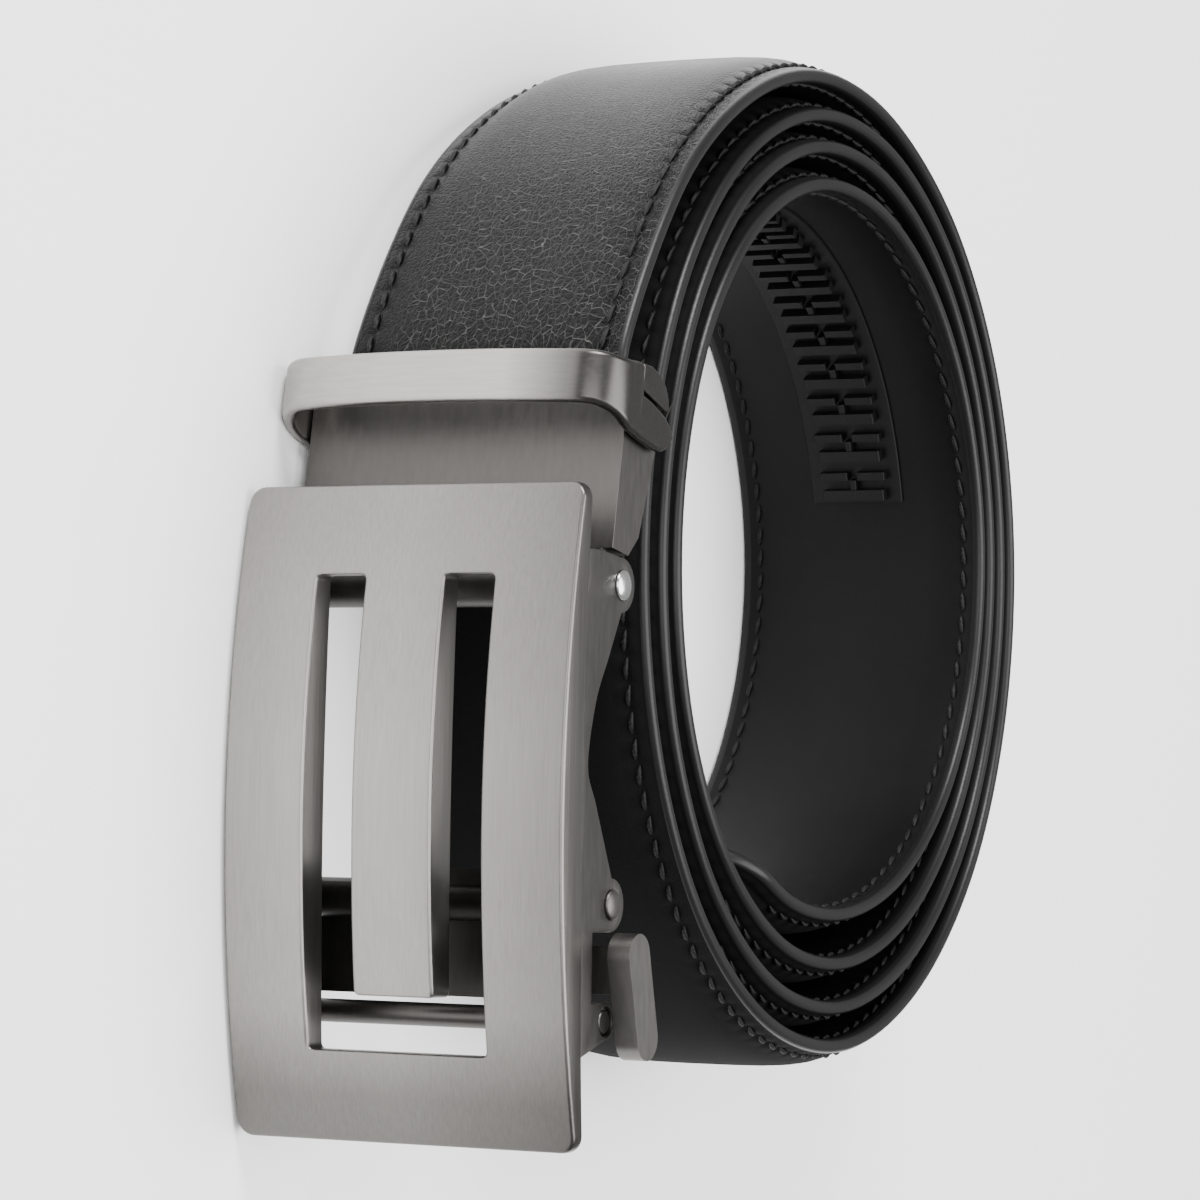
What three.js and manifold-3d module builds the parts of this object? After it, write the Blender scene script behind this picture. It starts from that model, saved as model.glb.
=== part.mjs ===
// A ratchet belt, coiled and lying on its side. Millimetres, +Z up.
// x runs down the buckle to its free end, y runs back from its face, and z is across the strap.
import * as THREE from "three";
import { mergeVertices } from "three/addons/utils/BufferGeometryUtils.js";
import Module from "manifold-3d";

const wasm = await Module();
wasm.setup();

// Strap: padded leather, flat inside, with a crowned outer face between two stitched borders.
// The padding swells where the strap is free, and less where the clamp or the next turn holds it.
const STRAP_WIDTH = 35;
const STRAP_EDGE = 1.7;
const STRAP_CROWN = 2;
const HELD_CROWN = 1;
const EDGE_ROUND = 0.6;
const STITCH_INSET = 2.6;
const PAD_SLOPE = 3;
const TIP_RADIUS = 9;
const TIP_STEPS = 5;
const STRAP_STEP = 7.7;

// Coil: the radius is the centreline's at the top of the outermost turn.
const COIL_RADIUS = 59.6;
const COIL_BACK = 21.7;
const COIL_RISE = 6;
const TURN_GAP = 0.5;
const LEAVES_CLAMP = -0.06;

// Ratchet rack on the strap's inner face, near its tip.
const RACK_WIDTH = 13;
const RACK_BASE = 0.7;
const RACK_TOOTH = 0.9;
const RACK_TOOTH_PITCH = 5.7;
const RACK_TEETH = 26;
const RACK_END_ROOM = 32.2;

// Face plate: a crowned frame with a tongue bar in a U-shaped slot, and an ear behind each side.
const PLATE_LENGTH = 71.3;
const PLATE_BAR = 9.88;
const PLATE_SLOT = 6.06;
const PLATE_CROWN = 4.2;
const PLATE_HOLLOW = 1.3;
const PLATE_END = 1.9;
const PLATE_CORNER = 1.8;
const SLOT_CORNER = 0.7;
const EAR_WALL = 1.6;
const EAR_SET_IN = 0.5;
const EAR_RAIL = 2.4;
const EAR_NOTCH = 4.2;
const TAIL_ROOM = 4.3;

// Pins, and how far each one is set in from the end of the plate that it is nearest to.
const PIN_RADIUS = 1.3;
const HEAD_RADIUS = 1.8;
const HEAD_THICKNESS = 0.5;
const HINGE_SET_IN = 10.65;
const AXLE_SET_IN = 26.15;
const GUIDE_SET_IN = 13.65;
const HINGE_SLACK = 1.3;

// Clamp channel that holds the strap's cut end, and the loop that is pinned to it.
const CLAMP_TILT = THREE.MathUtils.degToRad(10.2);
const CLAMP_LENGTH = 23;
const CLAMP_WALL = 1.5;
const COVER_THICKNESS = 1.2;
const STRAP_SIDE_ROOM = 0.8;
const BARREL_RADIUS = 2.3;
const LOOP_WALL = 1.3;
const LOOP_BAR = 5.8;
const LOOP_OVERHANG = 1.2;
const LOOP_BAR_THICKNESS = 1.7;
const LOOP_BULGE = 1.2;
const LOOP_CORNER = 4;
const LOOP_ROOM = 5.8;
const LOOP_LOBE = 2.5;
const LOOP_PIVOT_SET_IN = 4.6;
const CAM_RADIUS = 1.5;

// Release lever: a cross plate on the axle, with a pawl lip and a finger pad outside one ear.
const LEVER_REACH = 10.5;
const LEVER_THICKNESS = 1.4;
const PAWL_WIDTH = 11;
const PAD_LENGTH = 14;
const PAD_DEPTH = 4.8;
const PAD_THICKNESS = 2.7;
const PAD_TILT = THREE.MathUtils.degToRad(14);
const SPRING_WIRE = 0.6;
const SPRING_TURNS = 4;

// Gaps: between pieces that touch, and between pieces that move on each other.
const SEAT_GAP = 0.3;
const RUN_GAP = 0.3;

const STRAP_THICKNESS = STRAP_EDGE + STRAP_CROWN;
const TURN_PITCH = STRAP_THICKNESS + TURN_GAP;
const PLATE_WIDTH = 3 * PLATE_BAR + 2 * PLATE_SLOT;
const EAR_OUTER = PLATE_WIDTH / 2 - EAR_SET_IN;
const EAR_INNER = EAR_OUTER - EAR_WALL;
const CLAMP_HALF = STRAP_WIDTH / 2 + STRAP_SIDE_ROOM + CLAMP_WALL;
const LOOP_HALF = CLAMP_HALF + RUN_GAP + LOOP_WALL;
const BUCKLE_HEIGHT = Math.max(LOOP_HALF, PLATE_WIDTH / 2, EAR_OUTER + SEAT_GAP + HEAD_THICKNESS);
const TAIL_FLOOR = PLATE_END + TAIL_ROOM;
const HINGE = {
  x: HINGE_SET_IN - PLATE_LENGTH / 2,
  y: TAIL_FLOOR + BARREL_RADIUS + HINGE_SLACK,
};
const AXLE = { x: PLATE_LENGTH / 2 - AXLE_SET_IN, y: TAIL_FLOOR + PIN_RADIUS + 1 };
const GUIDE = { x: PLATE_LENGTH / 2 - GUIDE_SET_IN, y: TAIL_FLOOR + PIN_RADIUS };
const BORE_RADIUS = PIN_RADIUS + RUN_GAP;

// In the clamp's own axes the hinge is the origin and the strap runs away along -x.
const COVER_FRONT = -(BARREL_RADIUS - 0.2);
const STRAP_LINE = COVER_FRONT + COVER_THICKNESS + SEAT_GAP + STRAP_EDGE / 2 + HELD_CROWN;
const STRAP_INSERT = -(BARREL_RADIUS + 2.7);
const LOOP_PIVOT = {
  x: LOOP_PIVOT_SET_IN - CLAMP_LENGTH,
  y: STRAP_LINE + STRAP_EDGE / 2 + RUN_GAP + CAM_RADIUS + 0.1,
};

const COIL_CENTRE = { x: HINGE.x - COIL_RISE, y: COIL_BACK + COIL_RADIUS };

// The coil, a row for about each quarter turn from its top: how far in from the coil's radius
// the centreline lies there, in turn pitches. The first two rows are the run down to the clamp.
const COIL_ROWS = [
  { turn: -0.14, inset: -1.33 },
  { turn: -0.07, inset: -0.38 },
  { turn: 0, inset: 0 },
  { turn: 0.25, inset: 0.3 },
  { turn: 0.375, inset: 0.1 },
  { turn: 0.5, inset: 0.11 },
  { turn: 0.75, inset: 1.85 },
  { turn: 1, inset: 0.97 },
  { turn: 1.25, inset: 1.15 },
  { turn: 1.5, inset: 1.23 },
  { turn: 1.75, inset: 2.98 },
  { turn: 2, inset: 1.9 },
  { turn: 2.25, inset: 2 },
  { turn: 2.5, inset: 2.52 },
  { turn: 2.75, inset: 3.85 },
  { turn: 3, inset: 3 },
  { turn: 3.25, inset: 2.8 },
  { turn: 3.5, inset: 3.98 },
  { turn: 3.6, inset: 4 },
];
const TURN_START = COIL_ROWS[0].turn;
const TURN_END = COIL_ROWS.at(-1).turn;

// The rack ends short of where the tip comes round again, on the innermost turn.
const INNER_INSET = (COIL_ROWS.at(-1).inset + COIL_ROWS.at(-6).inset) / 2;
const INNER_TURN = 2 * Math.PI * (COIL_RADIUS - INNER_INSET * TURN_PITCH);
const RACK_FROM_TIP = INNER_TURN - RACK_TEETH * RACK_TOOTH_PITCH - RACK_END_ROOM;

// The strap leaves the clamp at the buckle's mid height and settles onto its own edge.
const SETTLE = { from: -0.18, to: 0.06 };

const LEATHER = { color: 0x1b1b1c, roughness: 0.45, metalness: 0 };
const RACK_PLASTIC = { color: 0x141415, roughness: 0.6, metalness: 0 };
const BRUSHED_NICKEL = { color: 0xa19e9b, roughness: 0.35, metalness: 1 };
const SATIN_NICKEL = { color: 0x6d6c6b, roughness: 0.45, metalness: 1 };
const BRIGHT_STEEL = { color: 0xc4c6c8, roughness: 0.2, metalness: 1 };

// A geometry as a solid that can be joined and cut.
function solid(geometry) {
  const bare = geometry.clone();
  bare.deleteAttribute("normal");
  bare.deleteAttribute("uv");
  const merged = mergeVertices(bare, 1e-4);
  return new wasm.Manifold(
    new wasm.Mesh({
      numProp: 3,
      vertProperties: new Float32Array(merged.attributes.position.array),
      triVerts: new Uint32Array(merged.index.array),
    }),
  );
}

// A solid as a geometry again.
function surface(made) {
  const mesh = made.getMesh();
  const geometry = new THREE.BufferGeometry();
  geometry.setAttribute("position", new THREE.BufferAttribute(mesh.vertProperties, 3));
  geometry.setIndex(new THREE.BufferAttribute(mesh.triVerts, 1));
  geometry.computeVertexNormals();
  return geometry;
}

function joined(...geometries) {
  return geometries.map(solid).reduce((whole, piece) => whole.add(piece));
}

// An outline in x and y, as thick as from low to high in z.
function slab(shape, low, high, curveSegments = 12) {
  const options = { depth: high - low, bevelEnabled: false, curveSegments };
  return new THREE.ExtrudeGeometry(shape, options).translate(0, 0, low);
}

function rod(at, radius, low, high, sides = 20) {
  return new THREE.CylinderGeometry(radius, radius, high - low, sides)
    .rotateX(Math.PI / 2)
    .translate(at.x, at.y, (low + high) / 2);
}

function block(lowX, highX, lowY, highY, lowZ, highZ) {
  return new THREE.BoxGeometry(highX - lowX, highY - lowY, highZ - lowZ).translate(
    (lowX + highX) / 2,
    (lowY + highY) / 2,
    (lowZ + highZ) / 2,
  );
}

function piece(name, geometry, finish) {
  const mesh = new THREE.Mesh(geometry, new THREE.MeshStandardMaterial(finish));
  mesh.name = name;
  return mesh;
}

// A rectangle about the origin with rounded corners, drawn into a shape or a hole.
function roundedRectangle(path, halfX, halfY, radius) {
  path.moveTo(-halfX + radius, -halfY);
  path.lineTo(halfX - radius, -halfY);
  path.absarc(halfX - radius, -halfY + radius, radius, -Math.PI / 2, 0, false);
  path.lineTo(halfX, halfY - radius);
  path.absarc(halfX - radius, halfY - radius, radius, 0, Math.PI / 2, false);
  path.lineTo(-halfX + radius, halfY);
  path.absarc(-halfX + radius, halfY - radius, radius, Math.PI / 2, Math.PI, false);
  path.lineTo(-halfX, -halfY + radius);
  path.absarc(-halfX + radius, -halfY + radius, radius, Math.PI, 1.5 * Math.PI, false);
  return path;
}

// The coil's inset at any turn: a smooth curve through the rows.
function insetAt(turn) {
  const last = COIL_ROWS.length - 2;
  const found = COIL_ROWS.findIndex((row, i) => i > 0 && turn <= row.turn) - 1;
  const i = found < 0 ? last : found;
  const [low, high] = [COIL_ROWS[i], COIL_ROWS[i + 1]];
  const before = COIL_ROWS[Math.max(i - 1, 0)];
  const after = COIL_ROWS[Math.min(i + 2, last + 1)];
  const span = high.turn - low.turn;
  const t = (turn - low.turn) / span;
  const slopeLow = ((high.inset - before.inset) / (high.turn - before.turn)) * span;
  const slopeHigh = ((after.inset - low.inset) / (after.turn - low.turn)) * span;
  return (
    low.inset * (2 * t ** 3 - 3 * t ** 2 + 1) +
    slopeLow * (t ** 3 - 2 * t ** 2 + t) +
    high.inset * (3 * t ** 2 - 2 * t ** 3) +
    slopeHigh * (t ** 3 - t ** 2)
  );
}

// A point of the coil's centreline. It starts at the top, at -x, and winds through +y.
function coilPoint(turn) {
  const radius = COIL_RADIUS - insetAt(turn) * TURN_PITCH;
  const angle = Math.PI - turn * 2 * Math.PI;
  const settled = THREE.MathUtils.smoothstep(turn, SETTLE.from, SETTLE.to);
  return new THREE.Vector3(
    COIL_CENTRE.x + radius * Math.cos(angle),
    COIL_CENTRE.y + radius * Math.sin(angle),
    THREE.MathUtils.lerp(BUCKLE_HEIGHT, STRAP_WIDTH / 2, settled),
  );
}

// A point of the clamp's own axes, as a point of the belt.
function clampPoint(x, y) {
  return new THREE.Vector3(x, y, 0)
    .applyAxisAngle(new THREE.Vector3(0, 0, 1), -CLAMP_TILT)
    .add(new THREE.Vector3(HINGE.x, HINGE.y, BUCKLE_HEIGHT));
}

// How far the padding swells at any turn of the coil.
function crownAt(turn) {
  const pitch = insetAt(turn) - insetAt(Math.max(turn - 1, TURN_START));
  const room = pitch * TURN_PITCH - STRAP_EDGE - TURN_GAP;
  const free = turn - 1 < TURN_START ? STRAP_CROWN : Math.min(STRAP_CROWN, room);
  return THREE.MathUtils.lerp(
    HELD_CROWN,
    free,
    THREE.MathUtils.smoothstep(turn, TURN_START, LEAVES_CLAMP),
  );
}

// The strap's centreline. Its section always stands upright, as a strap lying on its edge does.
class StrapPath extends THREE.CatmullRomCurve3 {
  constructor() {
    const held = [STRAP_INSERT, -CLAMP_LENGTH / 2, -CLAMP_LENGTH, -CLAMP_LENGTH - 4];
    const points = held.map((x) => clampPoint(x, STRAP_LINE));
    const count = Math.round((TURN_END - TURN_START) * 16);
    for (let i = 0; i <= count; i += 1) {
      points.push(coilPoint(TURN_START + ((TURN_END - TURN_START) * i) / count));
    }
    super(points, false, "centripetal");
    this.arcLengthDivisions = points.length * 20;
    this.held = held.length;
  }

  // The turn of the coil at this distance along, or less than the first while in the clamp.
  turnAt(along) {
    const last = this.points.length - 1;
    const step = this.getUtoTmapping(along / this.getLength()) * last - this.held;
    return TURN_START + (step * (TURN_END - TURN_START)) / (last - this.held);
  }

  // A point this far along, this far out from the centreline and this far up from it.
  at(along, out, up) {
    const share = along / this.getLength();
    const rise = new THREE.Vector3(0, 0, 1);
    const outward = rise.clone().cross(this.getTangentAt(share)).normalize();
    return this.getPointAt(share).addScaledVector(outward, out).addScaledVector(rise, up);
  }
}

// The strap's section: x is outwards from the coil and y is across the strap.
function strapSection() {
  const half = STRAP_WIDTH / 2;
  const face = STRAP_EDGE / 2;
  const stitch = half - STITCH_INSET;
  const crown = [
    { inset: 0, share: 0 },
    { inset: PAD_SLOPE * 0.35, share: 0.45 },
    { inset: PAD_SLOPE, share: 0.78 },
    { inset: stitch, share: 1 },
  ].map((row) => [row.inset - stitch, face + STRAP_CROWN * row.share]);
  const mirrored = crown.slice(0, -1).map(([across, out]) => [-across, out]);
  const shape = new THREE.Shape();
  shape.moveTo(-face, -half + EDGE_ROUND);
  shape.quadraticCurveTo(-face, -half, -face + EDGE_ROUND, -half);
  shape.lineTo(face - EDGE_ROUND, -half);
  shape.quadraticCurveTo(face, -half, face, -half + EDGE_ROUND);
  [...crown, ...mirrored.reverse()].forEach(([across, out]) => shape.lineTo(out, across));
  shape.lineTo(face, half - EDGE_ROUND);
  shape.quadraticCurveTo(face, half, face - EDGE_ROUND, half);
  shape.lineTo(-face + EDGE_ROUND, half);
  shape.quadraticCurveTo(-face, half, -face, half - EDGE_ROUND);
  return shape;
}

// Where the strap's sections stand, and how wide each is: closer ones round the tip's corners.
function strapStations(length) {
  const radius = Math.min(TIP_RADIUS, STRAP_WIDTH / 2);
  const body = Math.round((length - radius) / STRAP_STEP);
  const stations = [];
  for (let i = 0; i < body; i += 1) {
    stations.push({ along: ((length - radius) * i) / body, width: 1 });
  }
  for (let i = 0; i <= TIP_STEPS; i += 1) {
    const angle = (i * Math.PI) / 2 / TIP_STEPS;
    const taken = radius * (1 - Math.cos(angle));
    stations.push({
      along: length - radius * (1 - Math.sin(angle)),
      width: 1 - taken / (STRAP_WIDTH / 2),
    });
  }
  return stations;
}

function strap() {
  const path = new StrapPath();
  const stations = strapStations(path.getLength());
  const last = stations.length - 1;
  const options = { depth: last, steps: last, bevelEnabled: false, curveSegments: 2 };
  const ribbon = new THREE.ExtrudeGeometry(strapSection(), options);
  const position = ribbon.getAttribute("position");
  const crowns = stations.map(({ along }) => crownAt(path.turnAt(along)) / STRAP_CROWN);
  for (let i = 0; i < position.count; i += 1) {
    const step = Math.round(position.getZ(i));
    const { along, width } = stations[step];
    const swell = Math.max(position.getX(i) - STRAP_EDGE / 2, 0);
    const out = position.getX(i) - swell * (1 - crowns[step]);
    position.setXYZ(i, ...path.at(along, out, position.getY(i) * width).toArray());
  }
  return piece("strap", surface(solid(ribbon)), LEATHER);
}

// The rack: a strip along the strap's inner face with one sloped tooth for each pitch.
function ratchetRack() {
  const length = RACK_TEETH * RACK_TOOTH_PITCH;
  const path = new StrapPath();
  const whole = path.getLength();
  const inner = (fromTip, inset) => {
    const point = path.at(whole - fromTip, -STRAP_EDGE / 2 - inset, 0);
    return new THREE.Vector2(point.x, point.y);
  };
  const seat = SEAT_GAP + (STRAP_STEP * STRAP_STEP) / (6 * COIL_RADIUS);
  const crest = seat + RACK_BASE + RACK_TOOTH;
  const back = [];
  const front = [];
  for (let i = 0; i < RACK_TEETH; i += 1) {
    const at = RACK_FROM_TIP + i * RACK_TOOTH_PITCH;
    back.push(inner(at, seat));
    front.push(inner(at, seat + RACK_BASE));
    front.push(inner(at + RACK_TOOTH_PITCH * 0.25, crest));
    front.push(inner(at + RACK_TOOTH_PITCH * 0.6, crest));
    front.push(inner(at + RACK_TOOTH_PITCH * 0.65, seat + RACK_BASE));
  }
  back.push(inner(RACK_FROM_TIP + length, seat));
  front.push(inner(RACK_FROM_TIP + length, seat + RACK_BASE));
  const shape = new THREE.Shape([...back, ...front.reverse()]);
  const middle = STRAP_WIDTH / 2;
  const strip = slab(shape, middle - RACK_WIDTH / 2, middle + RACK_WIDTH / 2);
  return piece("ratchet_rack", strip, RACK_PLASTIC);
}

// The plate seen from the front: a rounded rectangle with a U-shaped slot round a tongue.
function plateOutline() {
  const halfLength = PLATE_LENGTH / 2;
  const outer = new THREE.Shape();
  roundedRectangle(outer, halfLength, PLATE_WIDTH / 2, PLATE_CORNER);
  const top = PLATE_BAR - halfLength;
  const bottom = halfLength - PLATE_BAR;
  const tongueEnd = bottom - PLATE_SLOT;
  const side = PLATE_WIDTH / 2 - PLATE_BAR;
  const tongue = PLATE_BAR / 2;
  const slot = new THREE.Path();
  slot.moveTo(top, -side + SLOT_CORNER);
  slot.quadraticCurveTo(top, -side, top + SLOT_CORNER, -side);
  slot.lineTo(bottom - SLOT_CORNER, -side);
  slot.quadraticCurveTo(bottom, -side, bottom, -side + SLOT_CORNER);
  slot.lineTo(bottom, side - SLOT_CORNER);
  slot.quadraticCurveTo(bottom, side, bottom - SLOT_CORNER, side);
  slot.lineTo(top + SLOT_CORNER, side);
  slot.quadraticCurveTo(top, side, top, side - SLOT_CORNER);
  slot.lineTo(top, tongue + SLOT_CORNER);
  slot.quadraticCurveTo(top, tongue, top + SLOT_CORNER, tongue);
  slot.lineTo(tongueEnd - SLOT_CORNER, tongue);
  slot.quadraticCurveTo(tongueEnd, tongue, tongueEnd, tongue - SLOT_CORNER);
  slot.lineTo(tongueEnd, -tongue + SLOT_CORNER);
  slot.quadraticCurveTo(tongueEnd, -tongue, tongueEnd - SLOT_CORNER, -tongue);
  slot.lineTo(top + SLOT_CORNER, -tongue);
  slot.quadraticCurveTo(top, -tongue, top, -tongue - SLOT_CORNER);
  outer.holes.push(slot);
  return outer;
}

// The plate seen from its long side: crowned in front and a little hollow behind.
function plateProfile() {
  const half = PLATE_LENGTH / 2;
  const shape = new THREE.Shape();
  shape.moveTo(-half, 0);
  shape.quadraticCurveTo(0, -2 * PLATE_CROWN, half, 0);
  shape.lineTo(half, PLATE_END);
  shape.quadraticCurveTo(0, PLATE_END - 2 * PLATE_HOLLOW, -half, PLATE_END);
  return shape;
}

// The ears' lobes: round the hinge pin, the lever's axle and the guide pin.
const LOBES = [
  { at: HINGE, radius: 3 },
  { at: AXLE, radius: 2.9 },
  { at: GUIDE, radius: 2 },
];

// The ear's back edge between the axle and the hinge, as shares of the way and of the hinge's depth.
const EAR_EDGE = [
  { along: 0.27, depth: 0.3 },
  { along: 0.42, depth: 0.02 },
  { along: 0.66, depth: 0.24 },
  { along: 0.83, depth: 0.62 },
];

function earOutline() {
  const [hingeLobe, axleLobe, guideLobe] = LOBES;
  const foot = (PLATE_END - PLATE_HOLLOW) / 2;
  const top = HINGE.x - hingeLobe.radius - 0.6;
  const edge = EAR_EDGE.map(
    (row) =>
      new THREE.Vector2(
        THREE.MathUtils.lerp(AXLE.x - axleLobe.radius, HINGE.x + hingeLobe.radius, row.along),
        THREE.MathUtils.lerp(EAR_RAIL, HINGE.y, row.depth),
      ),
  );
  const shape = new THREE.Shape();
  shape.moveTo(top, foot);
  shape.lineTo(GUIDE.x + 2 * guideLobe.radius, foot);
  shape.lineTo(GUIDE.x + guideLobe.radius, GUIDE.y);
  shape.lineTo(GUIDE.x - guideLobe.radius, GUIDE.y);
  shape.lineTo(GUIDE.x - guideLobe.radius, EAR_NOTCH);
  shape.lineTo(AXLE.x + axleLobe.radius, EAR_NOTCH);
  shape.lineTo(AXLE.x + axleLobe.radius, AXLE.y);
  shape.lineTo(AXLE.x - axleLobe.radius, AXLE.y);
  shape.splineThru([...edge, new THREE.Vector2(HINGE.x + hingeLobe.radius, HINGE.y)]);
  shape.lineTo(HINGE.x - hingeLobe.radius, HINGE.y);
  shape.lineTo(top, HINGE.y / 2);
  return shape;
}

function faceFrame() {
  const halfWidth = PLATE_WIDTH / 2;
  const deep = PLATE_CROWN + PLATE_END;
  const profile = solid(slab(plateProfile(), -halfWidth, halfWidth, 14));
  const outline = slab(plateOutline(), -2 * deep, 2 * deep, 3).rotateX(Math.PI / 2);
  let frame = profile.intersect(solid(outline));
  [-1, 1].forEach((side) => {
    const [low, high] = side < 0 ? [-EAR_OUTER, -EAR_INNER] : [EAR_INNER, EAR_OUTER];
    frame = frame.add(solid(slab(earOutline(), low, high, 6)));
    LOBES.forEach((lobe) => {
      frame = frame.add(solid(rod(lobe.at, lobe.radius, low, high)));
    });
  });
  LOBES.forEach((lobe) => {
    frame = frame.subtract(solid(rod(lobe.at, BORE_RADIUS, -halfWidth, halfWidth)));
  });
  return piece("face_frame", surface(frame), BRUSHED_NICKEL);
}

// A plain pin across both ears, with its ends flush in them.
function plainPin(name, at) {
  const half = EAR_OUTER - 0.1;
  return piece(name, rod(at, PIN_RADIUS, -half, half, 16), SATIN_NICKEL);
}

// A pin across both ears, with a domed head outside each.
function crossPin(name, at, finish) {
  const seat = EAR_OUTER + SEAT_GAP;
  const end = seat + HEAD_THICKNESS;
  const profile = [
    new THREE.Vector2(0, -end),
    new THREE.Vector2(HEAD_RADIUS * 0.7, -end),
    new THREE.Vector2(HEAD_RADIUS, -seat - HEAD_THICKNESS / 2),
    new THREE.Vector2(HEAD_RADIUS, -seat),
    new THREE.Vector2(PIN_RADIUS, -seat),
    new THREE.Vector2(PIN_RADIUS, seat),
    new THREE.Vector2(HEAD_RADIUS, seat),
    new THREE.Vector2(HEAD_RADIUS, seat + HEAD_THICKNESS / 2),
    new THREE.Vector2(HEAD_RADIUS * 0.7, end),
    new THREE.Vector2(0, end),
  ];
  const turned = new THREE.LatheGeometry(profile, 16).rotateX(Math.PI / 2);
  return piece(name, turned.translate(at.x, at.y, 0), finish);
}

const SPRING_RADIUS = PIN_RADIUS + SEAT_GAP + SPRING_WIRE / 2 + 0.2;
const SPRING_ROOM = SPRING_TURNS * SPRING_WIRE * 1.6;
const SPRING_MIDDLE = PAWL_WIDTH / 2 + SPRING_ROOM / 2 + 1.4;

class SpringPath extends THREE.Curve {
  getPoint(t, target = new THREE.Vector3()) {
    const angle = t * SPRING_TURNS * 2 * Math.PI;
    const rise = (t - 0.5) * (SPRING_ROOM - 2 * SPRING_WIRE);
    return target.set(
      AXLE.x + SPRING_RADIUS * Math.cos(angle),
      AXLE.y + SPRING_RADIUS * Math.sin(angle),
      SPRING_MIDDLE + rise,
    );
  }
}

function returnSpring() {
  const wire = new THREE.Shape();
  wire.absarc(0, 0, SPRING_WIRE / 2, 0, 2 * Math.PI, false);
  const options = { steps: SPRING_TURNS * 12, curveSegments: 3, extrudePath: new SpringPath() };
  return piece("return_spring", new THREE.ExtrudeGeometry(wire, options), BRIGHT_STEEL);
}

// The lever turns on its axle: the lip faces the tail of the strap, and the pad is pressed.
function releaseLever() {
  const barrel = BARREL_RADIUS - 0.1;
  const half = EAR_INNER - RUN_GAP;
  const padInner = EAR_OUTER + SEAT_GAP + HEAD_THICKNESS + RUN_GAP;
  const end = AXLE.x + LEVER_REACH;
  const back = AXLE.y + barrel;
  const lip = new THREE.Shape();
  lip.moveTo(AXLE.x - barrel - 1.3, TAIL_FLOOR + 0.15);
  lip.lineTo(AXLE.x - barrel + 0.5, TAIL_FLOOR + 0.9);
  lip.lineTo(AXLE.x, AXLE.y);
  lip.lineTo(AXLE.x, back);
  lip.lineTo(AXLE.x - barrel - 0.4, back - 0.8);
  const pad = new THREE.Shape();
  const reach = PAD_LENGTH / 2 - PAD_DEPTH / 2;
  pad.absarc(reach, 0, PAD_DEPTH / 2, -Math.PI / 2, Math.PI / 2, false);
  pad.absarc(-reach, 0, PAD_DEPTH / 2, Math.PI / 2, 1.5 * Math.PI, false);
  const padSolid = slab(pad, padInner, padInner + PAD_THICKNESS, 8)
    .rotateZ(PAD_TILT)
    .translate(end - 0.7, AXLE.y + 0.5, 0);
  const arm = [end - 6, end - 0.9];
  return piece(
    "release_lever",
    surface(
      joined(
        rod(AXLE, barrel, -half, half),
        block(AXLE.x, end, back - LEVER_THICKNESS, back, -half + 2, half - 2),
        slab(lip, -PAWL_WIDTH / 2, PAWL_WIDTH / 2),
        block(arm[0], arm[1], AXLE.y - 0.2, back, half - 4, padInner + 1),
        padSolid,
      )
        .subtract(solid(rod(AXLE, BORE_RADIUS, -half - 1, half + 1)))
        .subtract(
          solid(
            rod(
              AXLE,
              SPRING_RADIUS + SPRING_WIRE / 2 + RUN_GAP,
              SPRING_MIDDLE - SPRING_ROOM / 2,
              SPRING_MIDDLE + SPRING_ROOM / 2,
            ),
          ),
        ),
    ),
    SATIN_NICKEL,
  );
}

// The clamp in its own axes: a cover over the strap's end, two side walls and the hinge barrel.
function clampChannel() {
  const narrow = EAR_INNER - RUN_GAP;
  const shoulder = -(LOBES[0].radius + 0.7);
  const back = LOOP_PIVOT.y + LOOP_LOBE - 0.7;
  const wall = new THREE.Shape();
  wall.moveTo(-CLAMP_LENGTH + 1, COVER_FRONT);
  wall.lineTo(shoulder, COVER_FRONT);
  wall.lineTo(shoulder, STRAP_LINE + STRAP_EDGE / 2 - 0.3);
  wall.lineTo(shoulder - 2.5, STRAP_LINE + STRAP_EDGE / 2 + 1.7);
  wall.lineTo(LOOP_PIVOT.x + 1.5, back);
  wall.lineTo(LOOP_PIVOT.x - 1.8, back);
  wall.lineTo(-CLAMP_LENGTH + 1, LOOP_PIVOT.y);
  const inner = CLAMP_HALF - CLAMP_WALL;
  const coverBack = COVER_FRONT + COVER_THICKNESS;
  const made = joined(
    block(-CLAMP_LENGTH, shoulder, COVER_FRONT, coverBack, -CLAMP_HALF, CLAMP_HALF),
    block(shoulder - 1, 0, COVER_FRONT, coverBack, -narrow, narrow),
    rod({ x: 0, y: 0 }, BARREL_RADIUS, -narrow, narrow),
    slab(wall, -CLAMP_HALF, -inner),
    slab(wall, inner, CLAMP_HALF),
  )
    .subtract(solid(rod({ x: 0, y: 0 }, BORE_RADIUS, -narrow - 1, narrow + 1)))
    .subtract(solid(rod(LOOP_PIVOT, CAM_RADIUS + RUN_GAP, -CLAMP_HALF - 1, CLAMP_HALF + 1)));
  return piece("clamp_channel", surface(made), SATIN_NICKEL);
}

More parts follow.
